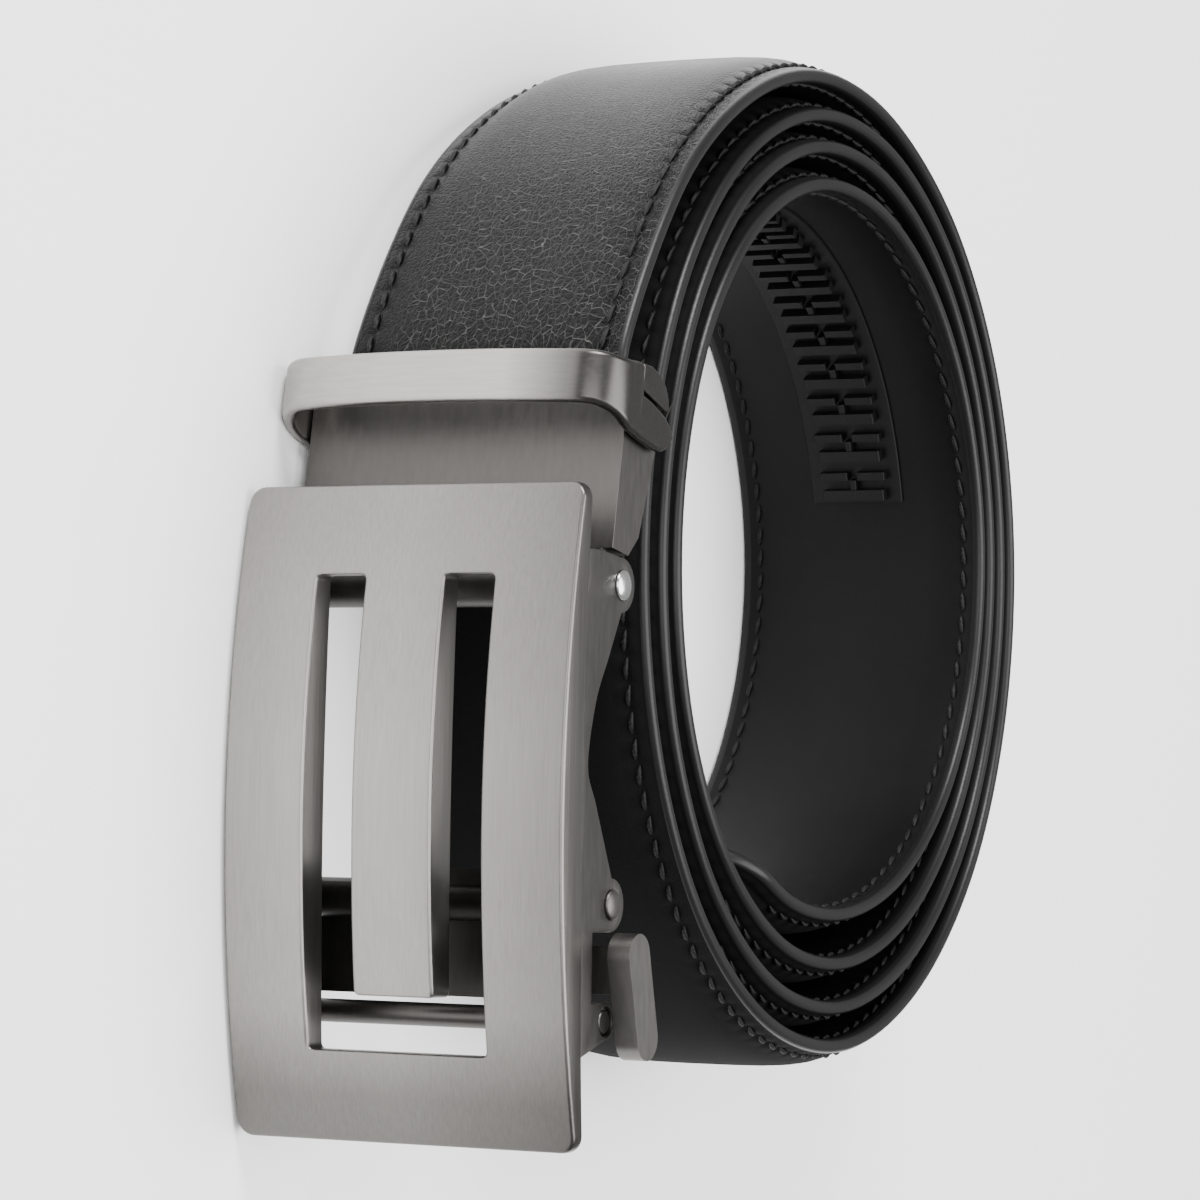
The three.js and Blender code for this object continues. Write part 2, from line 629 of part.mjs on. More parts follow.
// The loop from its side: a tall bar in front, and a broad arm back to the pivot behind the strap.
function loopSide() {
  const top = -CLAMP_LENGTH - LOOP_OVERHANG;
  const bottom = top + LOOP_BAR;
  const front = COVER_FRONT - LOOP_ROOM - LOOP_BAR_THICKNESS - LOOP_BULGE;
  const shape = new THREE.Shape();
  const waist = COVER_FRONT - LOOP_BAR * 0.45;
  shape.moveTo(top, front);
  shape.lineTo(bottom, front);
  shape.lineTo(bottom + LOOP_BAR * 0.12, waist);
  shape.lineTo(bottom, COVER_FRONT - LOOP_BAR * 0.2);
  shape.lineTo(bottom - LOOP_BAR * 0.3, COVER_FRONT + LOOP_BAR * 0.2);
  shape.lineTo(LOOP_PIVOT.x + LOOP_LOBE * 0.7, LOOP_PIVOT.y - LOOP_LOBE * 0.7);
  shape.absarc(LOOP_PIVOT.x, LOOP_PIVOT.y, LOOP_LOBE, -0.25 * Math.PI, 0.6 * Math.PI, false);
  shape.lineTo(top + LOOP_LOBE, LOOP_PIVOT.y + LOOP_LOBE * 0.2);
  shape.quadraticCurveTo(top - 0.2, LOOP_PIVOT.y, top - 0.4, LOOP_PIVOT.y - LOOP_LOBE);
  shape.lineTo(top - 0.7, waist + LOOP_BAR * 0.3);
  shape.lineTo(top - 0.4, front + 1);
  return shape;
}

// The loop from above its bar: a wide U with a slightly bowed front, x across and y in depth.
function loopPlan() {
  const front = COVER_FRONT - LOOP_ROOM - LOOP_BAR_THICKNESS;
  const end = LOOP_PIVOT.y + LOOP_LOBE + 1;
  const inside = CLAMP_HALF + RUN_GAP;
  const insideFront = front + LOOP_BAR_THICKNESS;
  const shape = new THREE.Shape();
  shape.moveTo(-LOOP_HALF, end);
  shape.lineTo(-LOOP_HALF, front + LOOP_CORNER);
  shape.quadraticCurveTo(-LOOP_HALF, front, -LOOP_HALF + LOOP_CORNER, front - 0.1);
  shape.quadraticCurveTo(0, front - 2 * LOOP_BULGE, LOOP_HALF - LOOP_CORNER, front - 0.1);
  shape.quadraticCurveTo(LOOP_HALF, front, LOOP_HALF, front + LOOP_CORNER);
  shape.lineTo(LOOP_HALF, end);
  shape.lineTo(inside, end);
  shape.lineTo(inside, insideFront + LOOP_CORNER / 2);
  shape.quadraticCurveTo(inside, insideFront, inside - LOOP_CORNER / 2, insideFront);
  shape.lineTo(-inside + LOOP_CORNER / 2, insideFront);
  shape.quadraticCurveTo(-inside, insideFront, -inside, insideFront + LOOP_CORNER / 2);
  shape.lineTo(-inside, end);
  return shape;
}

// The loop in the clamp's axes, with the cam rod that bears on the strap from behind.
function clampLoop() {
  const side = solid(slab(loopSide(), -LOOP_HALF, LOOP_HALF, 5));
  const reach = CLAMP_LENGTH + LOOP_BAR;
  const plan = slab(loopPlan(), -reach, reach, 6);
  const turned = new THREE.Matrix4().makeBasis(
    new THREE.Vector3(0, 0, 1),
    new THREE.Vector3(0, 1, 0),
    new THREE.Vector3(-1, 0, 0),
  );
  const bow = solid(plan.applyMatrix4(turned)).intersect(side);
  const made = bow.add(solid(rod(LOOP_PIVOT, CAM_RADIUS, -LOOP_HALF, LOOP_HALF)));
  return piece("clamp_loop", surface(made), BRUSHED_NICKEL);
}

const clamp = new THREE.Group();
clamp.position.set(HINGE.x, HINGE.y, 0);
clamp.rotation.z = -CLAMP_TILT;
clamp.add(clampChannel(), clampLoop());

const buckle = new THREE.Group();
buckle.position.z = BUCKLE_HEIGHT;
buckle.add(
  faceFrame(),
  crossPin("hinge_pin", HINGE, BRIGHT_STEEL),
  crossPin("lever_axle", AXLE, SATIN_NICKEL),
  plainPin("guide_pin", GUIDE),
  returnSpring(),
  releaseLever(),
  clamp,
);

// The whole belt, with its origin under the middle of its box, on the surface that it lies on.
const belt = new THREE.Group();
belt.add(strap(), ratchetRack(), buckle);
const box = new THREE.Box3().setFromObject(belt, true);
const middle = box.getCenter(new THREE.Vector3());
belt.position.set(-middle.x, -middle.y, -box.min.z);

export default belt;
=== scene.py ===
import math

import bmesh
import bpy
import numpy as np
from mathutils import Matrix, Vector


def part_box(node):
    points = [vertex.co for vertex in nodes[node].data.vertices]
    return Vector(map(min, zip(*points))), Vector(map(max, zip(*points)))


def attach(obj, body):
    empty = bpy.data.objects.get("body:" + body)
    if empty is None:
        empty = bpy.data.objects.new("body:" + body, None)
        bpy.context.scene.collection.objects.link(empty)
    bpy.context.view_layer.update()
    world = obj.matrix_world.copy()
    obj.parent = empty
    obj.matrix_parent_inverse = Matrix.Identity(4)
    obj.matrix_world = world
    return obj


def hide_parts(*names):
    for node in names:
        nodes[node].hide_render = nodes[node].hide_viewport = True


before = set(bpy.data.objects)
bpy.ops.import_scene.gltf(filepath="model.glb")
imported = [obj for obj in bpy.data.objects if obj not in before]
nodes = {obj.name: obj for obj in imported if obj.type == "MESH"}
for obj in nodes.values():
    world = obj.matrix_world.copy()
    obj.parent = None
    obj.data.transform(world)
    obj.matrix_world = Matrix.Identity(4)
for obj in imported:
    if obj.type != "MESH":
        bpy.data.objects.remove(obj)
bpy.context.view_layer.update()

MM = 0.001

# Sizes of the solids, as in the part's source.
STRAP_WIDTH = 35
STRAP_EDGE = 1.7
STRAP_CROWN = 2
HELD_CROWN = 1
TURN_GAP = 0.5
COIL_RADIUS = 59.6
COIL_CENTRE = (-31, 81.3)
TURN_PITCH = 4.2
RACK_WIDTH = 13
RACK_BASE = 0.7
RACK_PITCH = 5.7
RACK_TEETH = 26
RACK_FROM_TIP = 108
PLATE_LENGTH = 71.3
PLATE_BAR = 9.88
PLATE_SLOT = 6.06
PLATE_WIDTH = 3 * PLATE_BAR + 2 * PLATE_SLOT
PLATE_CROWN = 4.2
PLATE_HOLLOW = 1.3
PLATE_END = 1.9
EAR_INNER = 18.78
EAR_OUTER = 20.38
HINGE = (-25, 9.8)
AXLE = (9.5, 8.5)
GUIDE = (22, 7.5)
PIN_RADIUS = 1.3
CLAMP_TILT = math.radians(10.2)
CLAMP_LENGTH = 23
COVER_FRONT = -2.1
STRAP_LINE = 1.25
STRAP_INSERT = -5
LOOP_PIVOT = (-18.4, 4.0)
LOOP_HALF = 21.4
LOOP_WALL = 1.3

# The hinge pin's place in the frame ties the belt axes to it.
pin_low, pin_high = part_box("hinge_pin")
pin_middle = (pin_low + pin_high) / 2
ORIGIN = np.array(
    [pin_middle.x / MM - HINGE[0], pin_middle.y / MM - HINGE[1], pin_middle.z / MM]
)
BUCKLE_HEIGHT = 21.4
SETTLED_HEIGHT = STRAP_WIDTH / 2 - BUCKLE_HEIGHT


def to_frame(points):
    """Belt axes with z from the buckle's mid height, in millimetres, as metres in the frame."""
    return (np.asarray(points, float) + ORIGIN) * MM


def clamp_points(points):
    """Points of the clamp's own axes, with the hinge as the origin, as belt axes."""
    points = np.asarray(points, float)
    cos, sin = math.cos(-CLAMP_TILT), math.sin(-CLAMP_TILT)
    out = points.copy()
    out[..., 0] = cos * points[..., 0] - sin * points[..., 1] + HINGE[0]
    out[..., 1] = sin * points[..., 0] + cos * points[..., 1] + HINGE[1]
    return out


# camera
CAMERA_PLACE = Vector(to_frame((-2.715, -418.30, 237.83)))
CAMERA_TURN = {"yaw": -0.475, "pitch": 0.043, "roll": 0.017}
FOCAL_SHARE = 4444.4 / 1200


def camera_axes(yaw, pitch, roll):
    """Right, up and forward in the frame, from angles in upright axes whose x is the frame's z."""
    ahead = Vector((math.sin(yaw) * math.cos(pitch), math.cos(yaw) * math.cos(pitch), math.sin(pitch)))
    level = Vector((math.cos(yaw), -math.sin(yaw), 0))
    above = level.cross(ahead)
    right = level * math.cos(roll) + above * math.sin(roll)
    up = above * math.cos(roll) - level * math.sin(roll)
    return [Vector((-v.z, v.y, v.x)) for v in (right, up, ahead)]


right, up, ahead = camera_axes(**CAMERA_TURN)
camera_data = bpy.data.cameras.new("camera")
camera_data.sensor_width = 36
camera_data.lens = 36 * FOCAL_SHARE
camera_data.clip_start = 0.05
camera_data.clip_end = 20
camera = bpy.data.objects.new("camera", camera_data)
bpy.context.scene.collection.objects.link(camera)
facing = Matrix((right, up, -ahead)).transposed().to_4x4()
camera.matrix_world = Matrix.Translation(CAMERA_PLACE) @ facing
bpy.context.scene.camera = camera


# materials
def colour(code):
    """An sRGB hex colour as linear values."""
    parts = [int(code[i : i + 2], 16) / 255 for i in (1, 3, 5)]
    return [p / 12.92 if p <= 0.04045 else ((p + 0.055) / 1.055) ** 2.4 for p in parts] + [1.0]


def add(tree, kind, inputs=None, **settings):
    """Adds a node with its settings. An input is a value, or another node's output to link."""
    made = tree.nodes.new(kind)
    for key, value in settings.items():
        setattr(made, key, value)
    for key, value in (inputs or {}).items():
        if isinstance(value, bpy.types.NodeSocket):
            tree.links.new(value, made.inputs[key])
        else:
            made.inputs[key].default_value = value
    return made


def maths(tree, operation, *values):
    """The result of one step of arithmetic."""
    return add(tree, "ShaderNodeMath", dict(enumerate(values)), operation=operation).outputs[0]


def ranged(tree, value, start=0.0, end=1.0, low=0.0, high=1.0, kind="LINEAR"):
    """A value held between the start and the end, and moved to between the low and the high."""
    inputs = {"Value": value, "From Min": start, "From Max": end, "To Min": low, "To Max": high}
    return add(tree, "ShaderNodeMapRange", inputs, interpolation_type=kind).outputs[0]


def noise(tree, vector, scale, detail, output="Fac"):
    """A noise texture's output."""
    inputs = {"Vector": vector, "Scale": scale, "Detail": detail}
    return add(tree, "ShaderNodeTexNoise", inputs).outputs[output]


def ramp(tree, value, stops):
    """A colour ramp with the given (place, colour) stops."""
    made = add(tree, "ShaderNodeValToRGB", {"Fac": value})
    elements = made.color_ramp.elements
    for i, (place, shade) in enumerate(stops):
        element = elements[i] if i < 2 else elements.new(place)
        element.position = place
        element.color = shade
    return made.outputs["Color"]


def painted(tree, shader, value, dark, light, dark_at=0.3, light_at=0.7):
    """Lets a value choose the base colour between a dark one and a light one."""
    shades = ramp(tree, value, [(dark_at, colour(dark)), (light_at, colour(light))])
    tree.links.new(shades, shader.inputs["Base Color"])


def bumped(tree, shader, height, strength, distance):
    """Lets a height, times a distance in metres, tilt the shading."""
    made = add(tree, "ShaderNodeBump", {"Height": height, "Strength": strength, "Distance": distance})
    tree.links.new(made.outputs[0], shader.inputs["Normal"])


def material(name):
    """A bare material: its tree and its shader."""
    made = bpy.data.materials.new(name)
    made.use_nodes = True
    return made, made.node_tree, made.node_tree.nodes["Principled BSDF"]


# Places on the strap's leather, in millimetres: along it from its cut end, across it round its section.
STITCH_PITCH = 3.1
FIRST_HOLE = 2.8
FACE_MIDDLE = 19.24
SEAM_ASIDE = 14.93
PUCKER_REACH = (0.3, 1.8)
NET_FADES = (36, 74)
NET_BEGINS = (6, 12)
GRAIN_FADES = (44, 100)
SHINE_FADES = (75, 150)


def creases(tree, vector, scale, width, line, cell):
    """A net of lines of this width round small cells, and the height of each."""
    inputs = {"Vector": vector, "Scale": scale, "Randomness": 1.0}
    settings = {"feature": "DISTANCE_TO_EDGE", "voronoi_dimensions": "2D"}
    cells = add(tree, "ShaderNodeTexVoronoi", inputs, **settings).outputs["Distance"]
    return ranged(tree, cells, 0.0, width, line, cell, "SMOOTHSTEP")


def puckers(tree, apart, across):
    """Soft puffs beside the seams, one between each hole and the next."""
    step = math.pi / STITCH_PITCH
    wave = maths(tree, "SINE", maths(tree, "MULTIPLY_ADD", apart, step, -FIRST_HOLE * step))
    from_middle = maths(tree, "ABSOLUTE", maths(tree, "SUBTRACT", across, FACE_MIDDLE))
    from_seam = maths(tree, "ABSOLUTE", maths(tree, "SUBTRACT", from_middle, SEAM_ASIDE))
    near = ranged(tree, from_seam, *PUCKER_REACH, 1.0, 0.0, "SMOOTHSTEP")
    return maths(tree, "MULTIPLY", maths(tree, "ABSOLUTE", wave), near)


def strap_leather():
    """Black full-grain leather: a fine grain with a soft shine, puckered along its seams, and a net of
    creases where the strap bends out of its clamp, their lines painted pale as highlights."""
    made, tree, shader = material("strap_leather")
    place = add(tree, "ShaderNodeUVMap", uv_map="strap").outputs[0]
    parted = add(tree, "ShaderNodeSeparateXYZ", {"Vector": place}).outputs
    apart, across = parted["X"], parted["Y"]

    def fading(reach, least):
        """1 up to the reach's start, this little beyond its end, by distance along the strap."""
        return ranged(tree, apart, *reach, 1.0, least, "SMOOTHSTEP")

    drift = noise(tree, place, 0.3, 3, "Color")
    shift = {0: drift, 1: (1.6, 2.4, 0)}
    bent = add(tree, "ShaderNodeVectorMath", shift, operation="MULTIPLY").outputs[0]
    warped = add(tree, "ShaderNodeVectorMath", {0: place, 1: bent}, operation="ADD").outputs[0]
    drawn = add(tree, "ShaderNodeMapping", {"Vector": warped, "Scale": (0.72, 1.2, 1)}).outputs[0]
    broken = ranged(tree, noise(tree, place, 0.5, 3), 0.38, 0.6, 0.3)
    net = maths(tree, "MULTIPLY", creases(tree, drawn, 1.0, 0.09, 1.0, 0.0), broken)
    net = maths(tree, "MULTIPLY", net, fading(NET_FADES, 0.0))
    net = maths(tree, "MULTIPLY", net, ranged(tree, across, *NET_BEGINS, kind="SMOOTHSTEP"))
    grain = creases(tree, warped, 1.5, 0.24, 0.0, 0.16)
    grain = maths(tree, "MULTIPLY", grain, fading(GRAIN_FADES, 0.15))
    relief = maths(tree, "ADD", net, grain)
    relief = maths(tree, "MULTIPLY_ADD", noise(tree, place, 5.0, 4), 0.12, relief)
    relief = maths(tree, "MULTIPLY_ADD", puckers(tree, apart, across), 0.8, relief)
    bumped(tree, shader, relief, 1.0, 0.00032)
    wear = noise(tree, place, 0.06, 5)
    black = ramp(tree, wear, [(0.3, colour("#080808")), (0.75, colour("#0e0e0f"))])
    # Painted highlight: the crease net is coloured pale grey on the black, as lines catching the light.
    painted_glint_mix = {"Factor": net, 6: black, 7: colour("#565554")}
    black_with_painted_glints = add(tree, "ShaderNodeMix", painted_glint_mix, data_type="RGBA").outputs[2]
    tree.links.new(black_with_painted_glints, shader.inputs["Base Color"])
    rough = ranged(tree, wear, low=0.22, high=0.36)
    dulled = ranged(tree, fading(SHINE_FADES, 0.0), low=0.85, high=rough)
    tree.links.new(dulled, shader.inputs["Roughness"])
    shader.inputs["Specular IOR Level"].default_value = 0.1
    return made


def plain_leather(name, dark, light, rough, shine, depth):
    """Smooth finished leather or edge paint: a fine even pore and a little change of shade."""
    made, tree, shader = material(name)
    place = add(tree, "ShaderNodeUVMap", uv_map="strap").outputs[0]
    pores = noise(tree, place, 3.0, 5)
    bumped(tree, shader, pores, 0.4, depth)
    painted(tree, shader, noise(tree, place, 0.05, 4), dark, light)
    spread = ranged(tree, pores, low=rough - 0.05, high=rough + 0.08)
    tree.links.new(spread, shader.inputs["Roughness"])
    shader.inputs["Specular IOR Level"].default_value = shine
    return made


def stitch_thread():
    """Black bonded thread: the twist's diagonal ridges, with a slight sheen."""
    made, tree, shader = material("stitch_thread")
    place = add(tree, "ShaderNodeTexCoord").outputs["Object"]
    inputs = {"Vector": place, "Scale": 900, "Distortion": 1.5}
    twist = add(tree, "ShaderNodeTexWave", inputs, bands_direction="DIAGONAL").outputs["Fac"]
    bumped(tree, shader, twist, 0.6, 0.00008)
    painted(tree, shader, twist, "#060606", "#121212", 0.0, 1.0)
    shader.inputs["Roughness"].default_value = 0.6
    shader.inputs["Specular IOR Level"].default_value = 0.25
    return made


def moulded_plastic():
    """Moulded black plastic: a matte, faintly pebbled surface."""
    made, tree, shader = material("moulded_plastic")
    place = add(tree, "ShaderNodeTexCoord").outputs["Object"]
    grain = noise(tree, place, 2500, 3)
    bumped(tree, shader, grain, 0.4, 0.00003)
    painted(tree, shader, grain, "#080808", "#0d0d0d")
    shader.inputs["Roughness"].default_value = 0.5
    shader.inputs["Specular IOR Level"].default_value = 0.18
    return made


def metal(name, dark, light, rough, stretch, streak=0.5, painted_shade=()):
    """Plated metal: fine brush lines that break up its reflections, and painted shade that darkens it
    along an axis: rows of (axis, from, to, stops), with places in the frame in metres."""
    made, tree, shader = material(name)
    shader.inputs["Metallic"].default_value = 1.0
    place = add(tree, "ShaderNodeTexCoord").outputs["Object"]
    drawn = add(tree, "ShaderNodeMapping", {"Vector": place, "Scale": stretch}).outputs[0]
    brush = {"Vector": drawn, "Scale": 1.0, "Detail": 6, "Roughness": 0.65}
    lines = add(tree, "ShaderNodeTexNoise", brush).outputs["Fac"]
    cloud = noise(tree, place, 60, 2)
    both = {"Factor": 0.25, 2: lines, 3: cloud}
    mixed = add(tree, "ShaderNodeMix", both, data_type="FLOAT").outputs[0]
    plating = ramp(tree, mixed, [(0.3, colour(dark)), (0.7, colour(light))])
    # Painted shade: each row multiplies the base colour darker along its axis.
    for axis, start, end, stops in painted_shade:
        along = add(tree, "ShaderNodeSeparateXYZ", {"Vector": place}).outputs[axis]
        shades = [(at, (grey, grey, grey, 1)) for at, grey in stops]
        both = {"Factor": 1.0, 6: plating, 7: ramp(tree, ranged(tree, along, start, end), shades)}
        plating = add(tree, "ShaderNodeMix", both, data_type="RGBA", blend_type="MULTIPLY").outputs[2]
    tree.links.new(plating, shader.inputs["Base Color"])
    spread = ranged(tree, lines, low=rough - 0.08, high=rough + 0.1)
    tree.links.new(spread, shader.inputs["Roughness"])
    bumped(tree, shader, lines, streak, 0.00002)
    return made


# Painted shade in the plating: darker down the face plate and across it, at the loop's ends, and off the
# finger pad.
PLATE_TOP = (ORIGIN[0] - PLATE_LENGTH / 2) * MM
PLATE_SPAN = PLATE_LENGTH * MM
MIDDLE = ORIGIN[2] * MM
SHADE_DOWN_THE_PLATE = [(0.0, 0.7), (0.12, 0.78), (0.4, 0.93), (0.8, 0.84), (0.93, 0.44), (1.0, 0.4)]
# Painted shade on the face plate: a little darker at its top, much darker at its bottom, and darker
# towards one side.
PLATE_PAINTED_SHADE = [
    ("X", PLATE_TOP, PLATE_TOP + PLATE_SPAN, SHADE_DOWN_THE_PLATE),
    ("Z", MIDDLE - 0.021, MIDDLE + 0.021, [(0.0, 1.0), (0.5, 0.98), (1.0, 0.56)]),
]
# Painted shade on the loop: its bar darkened towards both ends, most at one end.
SHADE_AT_LOOP_ENDS = [(0.0, 0.8), (0.2, 1.0), (0.7, 1.0), (0.9, 0.2)]
LOOP_PAINTED_SHADE = [("Z", MIDDLE - 0.022, MIDDLE + 0.022, SHADE_AT_LOOP_ENDS)]
# Painted shade on the lever: dark on its plate between the ears, full brightness on the finger pad
# outside them.
LEVER_PAINTED_SHADE = [("Z", MIDDLE + 0.018, MIDDLE + 0.022, [(0.2, 0.3), (0.8, 1.0)])]

# How the brush lines are drawn out: down the plate, across the loop, and short on the cast parts.
PLATE_LINES = (60, 4000, 4000)
LOOP_LINES = (2500, 2500, 90)
CAST_LINES = (300, 1500, 1500)
PIN_LINES = (400, 400, 400)

LEATHER = strap_leather()
EDGE_PAINT = plain_leather("edge_paint", "#0f0f0f", "#161616", 0.36, 0.24, 0.00003)
LINING = plain_leather("strap_lining", "#090909", "#0e0e0e", 0.46, 0.13, 0.00002)
THREAD = stitch_thread()
PLASTIC = moulded_plastic()
BRUSHED = metal("brushed_nickel", "#8a8784", "#9d9a96", 0.34, PLATE_LINES, painted_shade=PLATE_PAINTED_SHADE)
LOOP_NICKEL = metal("loop_nickel", "#95928f", "#a6a3a0", 0.3, LOOP_LINES, 0.2, LOOP_PAINTED_SHADE)
SATIN = metal("satin_nickel", "#504e4c", "#5a5856", 0.42, CAST_LINES, 0.15)
LEVER_NICKEL = metal("lever_nickel", "#5e5c5a", "#6c6a68", 0.42, CAST_LINES, 0.15, LEVER_PAINTED_SHADE)
BRIGHT = metal("bright_steel", "#c4c4c4", "#dcdcdc", 0.2, PIN_LINES, 0.1)


# building
def finished(name, mesh, materials, body, replaces=(), smooth_angle=35):
    """Names a mesh's object, paints it, shades it and hangs it on its body."""
    piece = bpy.data.objects.new(name, mesh)
    bpy.context.scene.collection.objects.link(piece)
    for made in materials:
        mesh.materials.append(made)
    mesh.shade_smooth()
    mesh.set_sharp_from_angle(angle=math.radians(smooth_angle))
    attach(piece, body)
    if replaces:
        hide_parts(*replaces)
    return piece


def mesh_of(bm, name):
    """Closes a bmesh into a mesh, with its normals turned outwards."""
    bmesh.ops.recalc_face_normals(bm, faces=bm.faces)
    mesh = bpy.data.meshes.new(name)
    bm.to_mesh(mesh)
    bm.free()
    return mesh


def lofted(rings, uv=None, zones=None):
    """A closed tube through rings of points: a grid, wrapped round, with both ends filled."""
    stations, around = rings.shape[:2]
    bm = bmesh.new()
    bmesh.ops.create_grid(bm, x_segments=around, y_segments=stations - 1, size=1)
    flat = np.array([v.co for v in bm.verts])
    column = np.rint((flat[:, 0] + 1) / 2 * around).astype(int)
    row = np.rint((flat[:, 1] + 1) / 2 * (stations - 1)).astype(int)
    places = rings[row, column % around]
    if uv is not None:
        layer = bm.loops.layers.uv.new("strap")
        for face in bm.faces:
            for loop in face.loops:
                i = loop.vert.index
                loop[layer].uv = uv(row[i], column[i])
    if zones is not None:
        for face in bm.faces:
            face.material_index = int(zones[min(column[v.index] for v in face.verts)])
    for vert, place in zip(bm.verts, places):
        vert.co = place
    bmesh.ops.remove_doubles(bm, verts=bm.verts, dist=1e-7)
    bmesh.ops.holes_fill(bm, edges=[e for e in bm.edges if e.is_boundary], sides=0)
    return bm


def curve_bmesh(data):
    """A curve's surface as a bmesh. The curve itself is removed."""
    holder = bpy.data.objects.new(data.name, data)
    bpy.context.scene.collection.objects.link(holder)
    bpy.context.view_layer.update()
    graph = bpy.context.evaluated_depsgraph_get()
    made = bpy.data.meshes.new_from_object(holder.evaluated_get(graph))
    bpy.data.objects.remove(holder)
    bpy.data.curves.remove(data)
    bm = bmesh.new()
    bm.from_mesh(made)
    bpy.data.meshes.remove(made)
    return bm


def outline_mesh(outlines, depth, bevel, steps=3):
    """A flat plate from an outline and its holes, with rounded rims: z runs from 0 to depth."""
    data = bpy.data.curves.new("outline", "CURVE")
    data.dimensions = "2D"
    data.fill_mode = "BOTH"
    data.extrude = depth / 2 - bevel
    data.bevel_depth = bevel
    data.bevel_resolution = steps
    data.offset = -bevel
    for points in outlines:
        spline = data.splines.new("POLY")
        spline.points.add(len(points) - 1)
        spline.points.foreach_set("co", [c for x, y in points for c in (x, y, 0, 1)])
        spline.use_cyclic_u = True
    bm = curve_bmesh(data)
    bmesh.ops.remove_doubles(bm, verts=bm.verts, dist=1e-4)
    bmesh.ops.translate(bm, verts=bm.verts, vec=(0, 0, depth / 2))
    return bm


def arc(centre, radius, start, end, steps=12):
    """Points along an arc, its angles in half turns."""
    angles = np.linspace(start * math.pi, end * math.pi, steps)
    return [(centre[0] + radius * math.cos(a), centre[1] + radius * math.sin(a)) for a in angles]


def through(points, per=8):
    """A smooth curve through the points."""
    p = np.array(points, float)
    p = np.vstack([2 * p[0] - p[1], p, 2 * p[-1] - p[-2]])
    out = []
    for i in range(1, len(p) - 2):
        for t in np.linspace(0, 1, per, endpoint=False):
            out.append(
                0.5
                * (
                    2 * p[i]
                    + (p[i + 1] - p[i - 1]) * t
                    + (2 * p[i - 1] - 5 * p[i] + 4 * p[i + 1] - p[i + 2]) * t**2
                    + (3 * p[i] - p[i - 1] - 3 * p[i + 1] + p[i + 2]) * t**3
                )
            )
    out.append(p[-2])
    return [tuple(q) for q in out]


def placed(bm, to_belt=lambda p: p):
    """Moves a bmesh's points into the frame. The function takes them, in millimetres, to belt axes."""
    where = to_frame(to_belt(np.array([v.co for v in bm.verts])))
    for vert, place in zip(bm.verts, where):
        vert.co = place
    return bm


def merged(parts):
    """Several bmeshes as one."""
    whole = bmesh.new()
    for bm in parts:
        held = bpy.data.meshes.new("held")
        bm.to_mesh(held)
        bm.free()
        whole.from_mesh(held)
        bpy.data.meshes.remove(held)
    return whole


# the strap
COIL_ROWS = [
    (-0.14, -1.33),
    (-0.07, -0.38),
    (0, 0),
    (0.25, 0.3),
    (0.375, 0.1),
    (0.5, 0.11),
    (0.75, 1.85),
    (1, 0.97),
    (1.25, 1.15),
    (1.5, 1.23),
    (1.75, 2.98),
    (2, 1.9),
    (2.25, 2),
    (2.5, 2.52),
    (2.75, 3.85),
    (3, 3),
    (3.25, 2.8),
    (3.5, 3.98),
    (3.6, 4),
]
SETTLE = (-0.18, 0.06)
LEAVES_CLAMP = -0.06
HELD_POINTS = 4
POINTS_PER_TURN = 16
STEPS_PER_POINT = 24


def inset_at(turn):
    """How far in the coil lies at this turn, in turn pitches: a smooth curve through the rows."""
    rows = COIL_ROWS
    i = next((k for k in range(len(rows) - 1) if turn <= rows[k + 1][0]), len(rows) - 2)
    (low, low_in), (high, high_in) = rows[i], rows[i + 1]
    before, after = rows[max(i - 1, 0)], rows[min(i + 2, len(rows) - 1)]
    span = high - low
    t = (turn - low) / span
    slope_low = (high_in - before[1]) / (high - before[0]) * span
    slope_high = (after[1] - low_in) / (after[0] - low) * span
    return (
        low_in * (2 * t**3 - 3 * t**2 + 1)
        + slope_low * (t**3 - 2 * t**2 + t)
        + high_in * (3 * t**2 - 2 * t**3)
        + slope_high * (t**3 - t**2)
    )


def coil_point(turn):
    """A point of the coil's centreline, in belt axes with z from the buckle's mid height."""
    radius = COIL_RADIUS - inset_at(turn) * TURN_PITCH
    angle = math.pi - turn * 2 * math.pi
    t = min(max((turn - SETTLE[0]) / (SETTLE[1] - SETTLE[0]), 0), 1)
    settled = t * t * (3 - 2 * t)
    return (
        COIL_CENTRE[0] + radius * math.cos(angle),
        COIL_CENTRE[1] + radius * math.sin(angle),
        SETTLED_HEIGHT * settled,
    )


def strap_route():
    """The strap's centreline: a centripetal curve through the clamp's points and the coil's."""
    held = [STRAP_INSERT, -CLAMP_LENGTH / 2, -CLAMP_LENGTH, -CLAMP_LENGTH - 4]
    points = [tuple(clamp_points([x, STRAP_LINE, 0])) for x in held]
    first, last = COIL_ROWS[0][0], COIL_ROWS[-1][0]
    count = round((last - first) * POINTS_PER_TURN)
    points += [coil_point(first + (last - first) * i / count) for i in range(count + 1)]
    p = np.array(points)
    p = np.vstack([2 * p[0] - p[1], p, 2 * p[-1] - p[-2]])
    t = np.linspace(0, 1, STEPS_PER_POINT, endpoint=False)[:, None]
    out = []
    for a, b, c, d in zip(p, p[1:], p[2:], p[3:]):
        ab, bc, cd = (math.sqrt(np.linalg.norm(v)) for v in (b - a, c - b, d - c))
        leave = ((b - a) / ab - (c - a) / (ab + bc) + (c - b) / bc) * bc
        reach = ((c - b) / bc - (d - b) / (bc + cd) + (d - c) / cd) * bc
        out.append(
            b * (2 * t**3 - 3 * t**2 + 1)
            + leave * (t**3 - 2 * t**2 + t)
            + c * (3 * t**2 - 2 * t**3)
            + reach * (t**3 - t**2)
        )
    out.append(p[-2][None])
    return np.vstack(out)


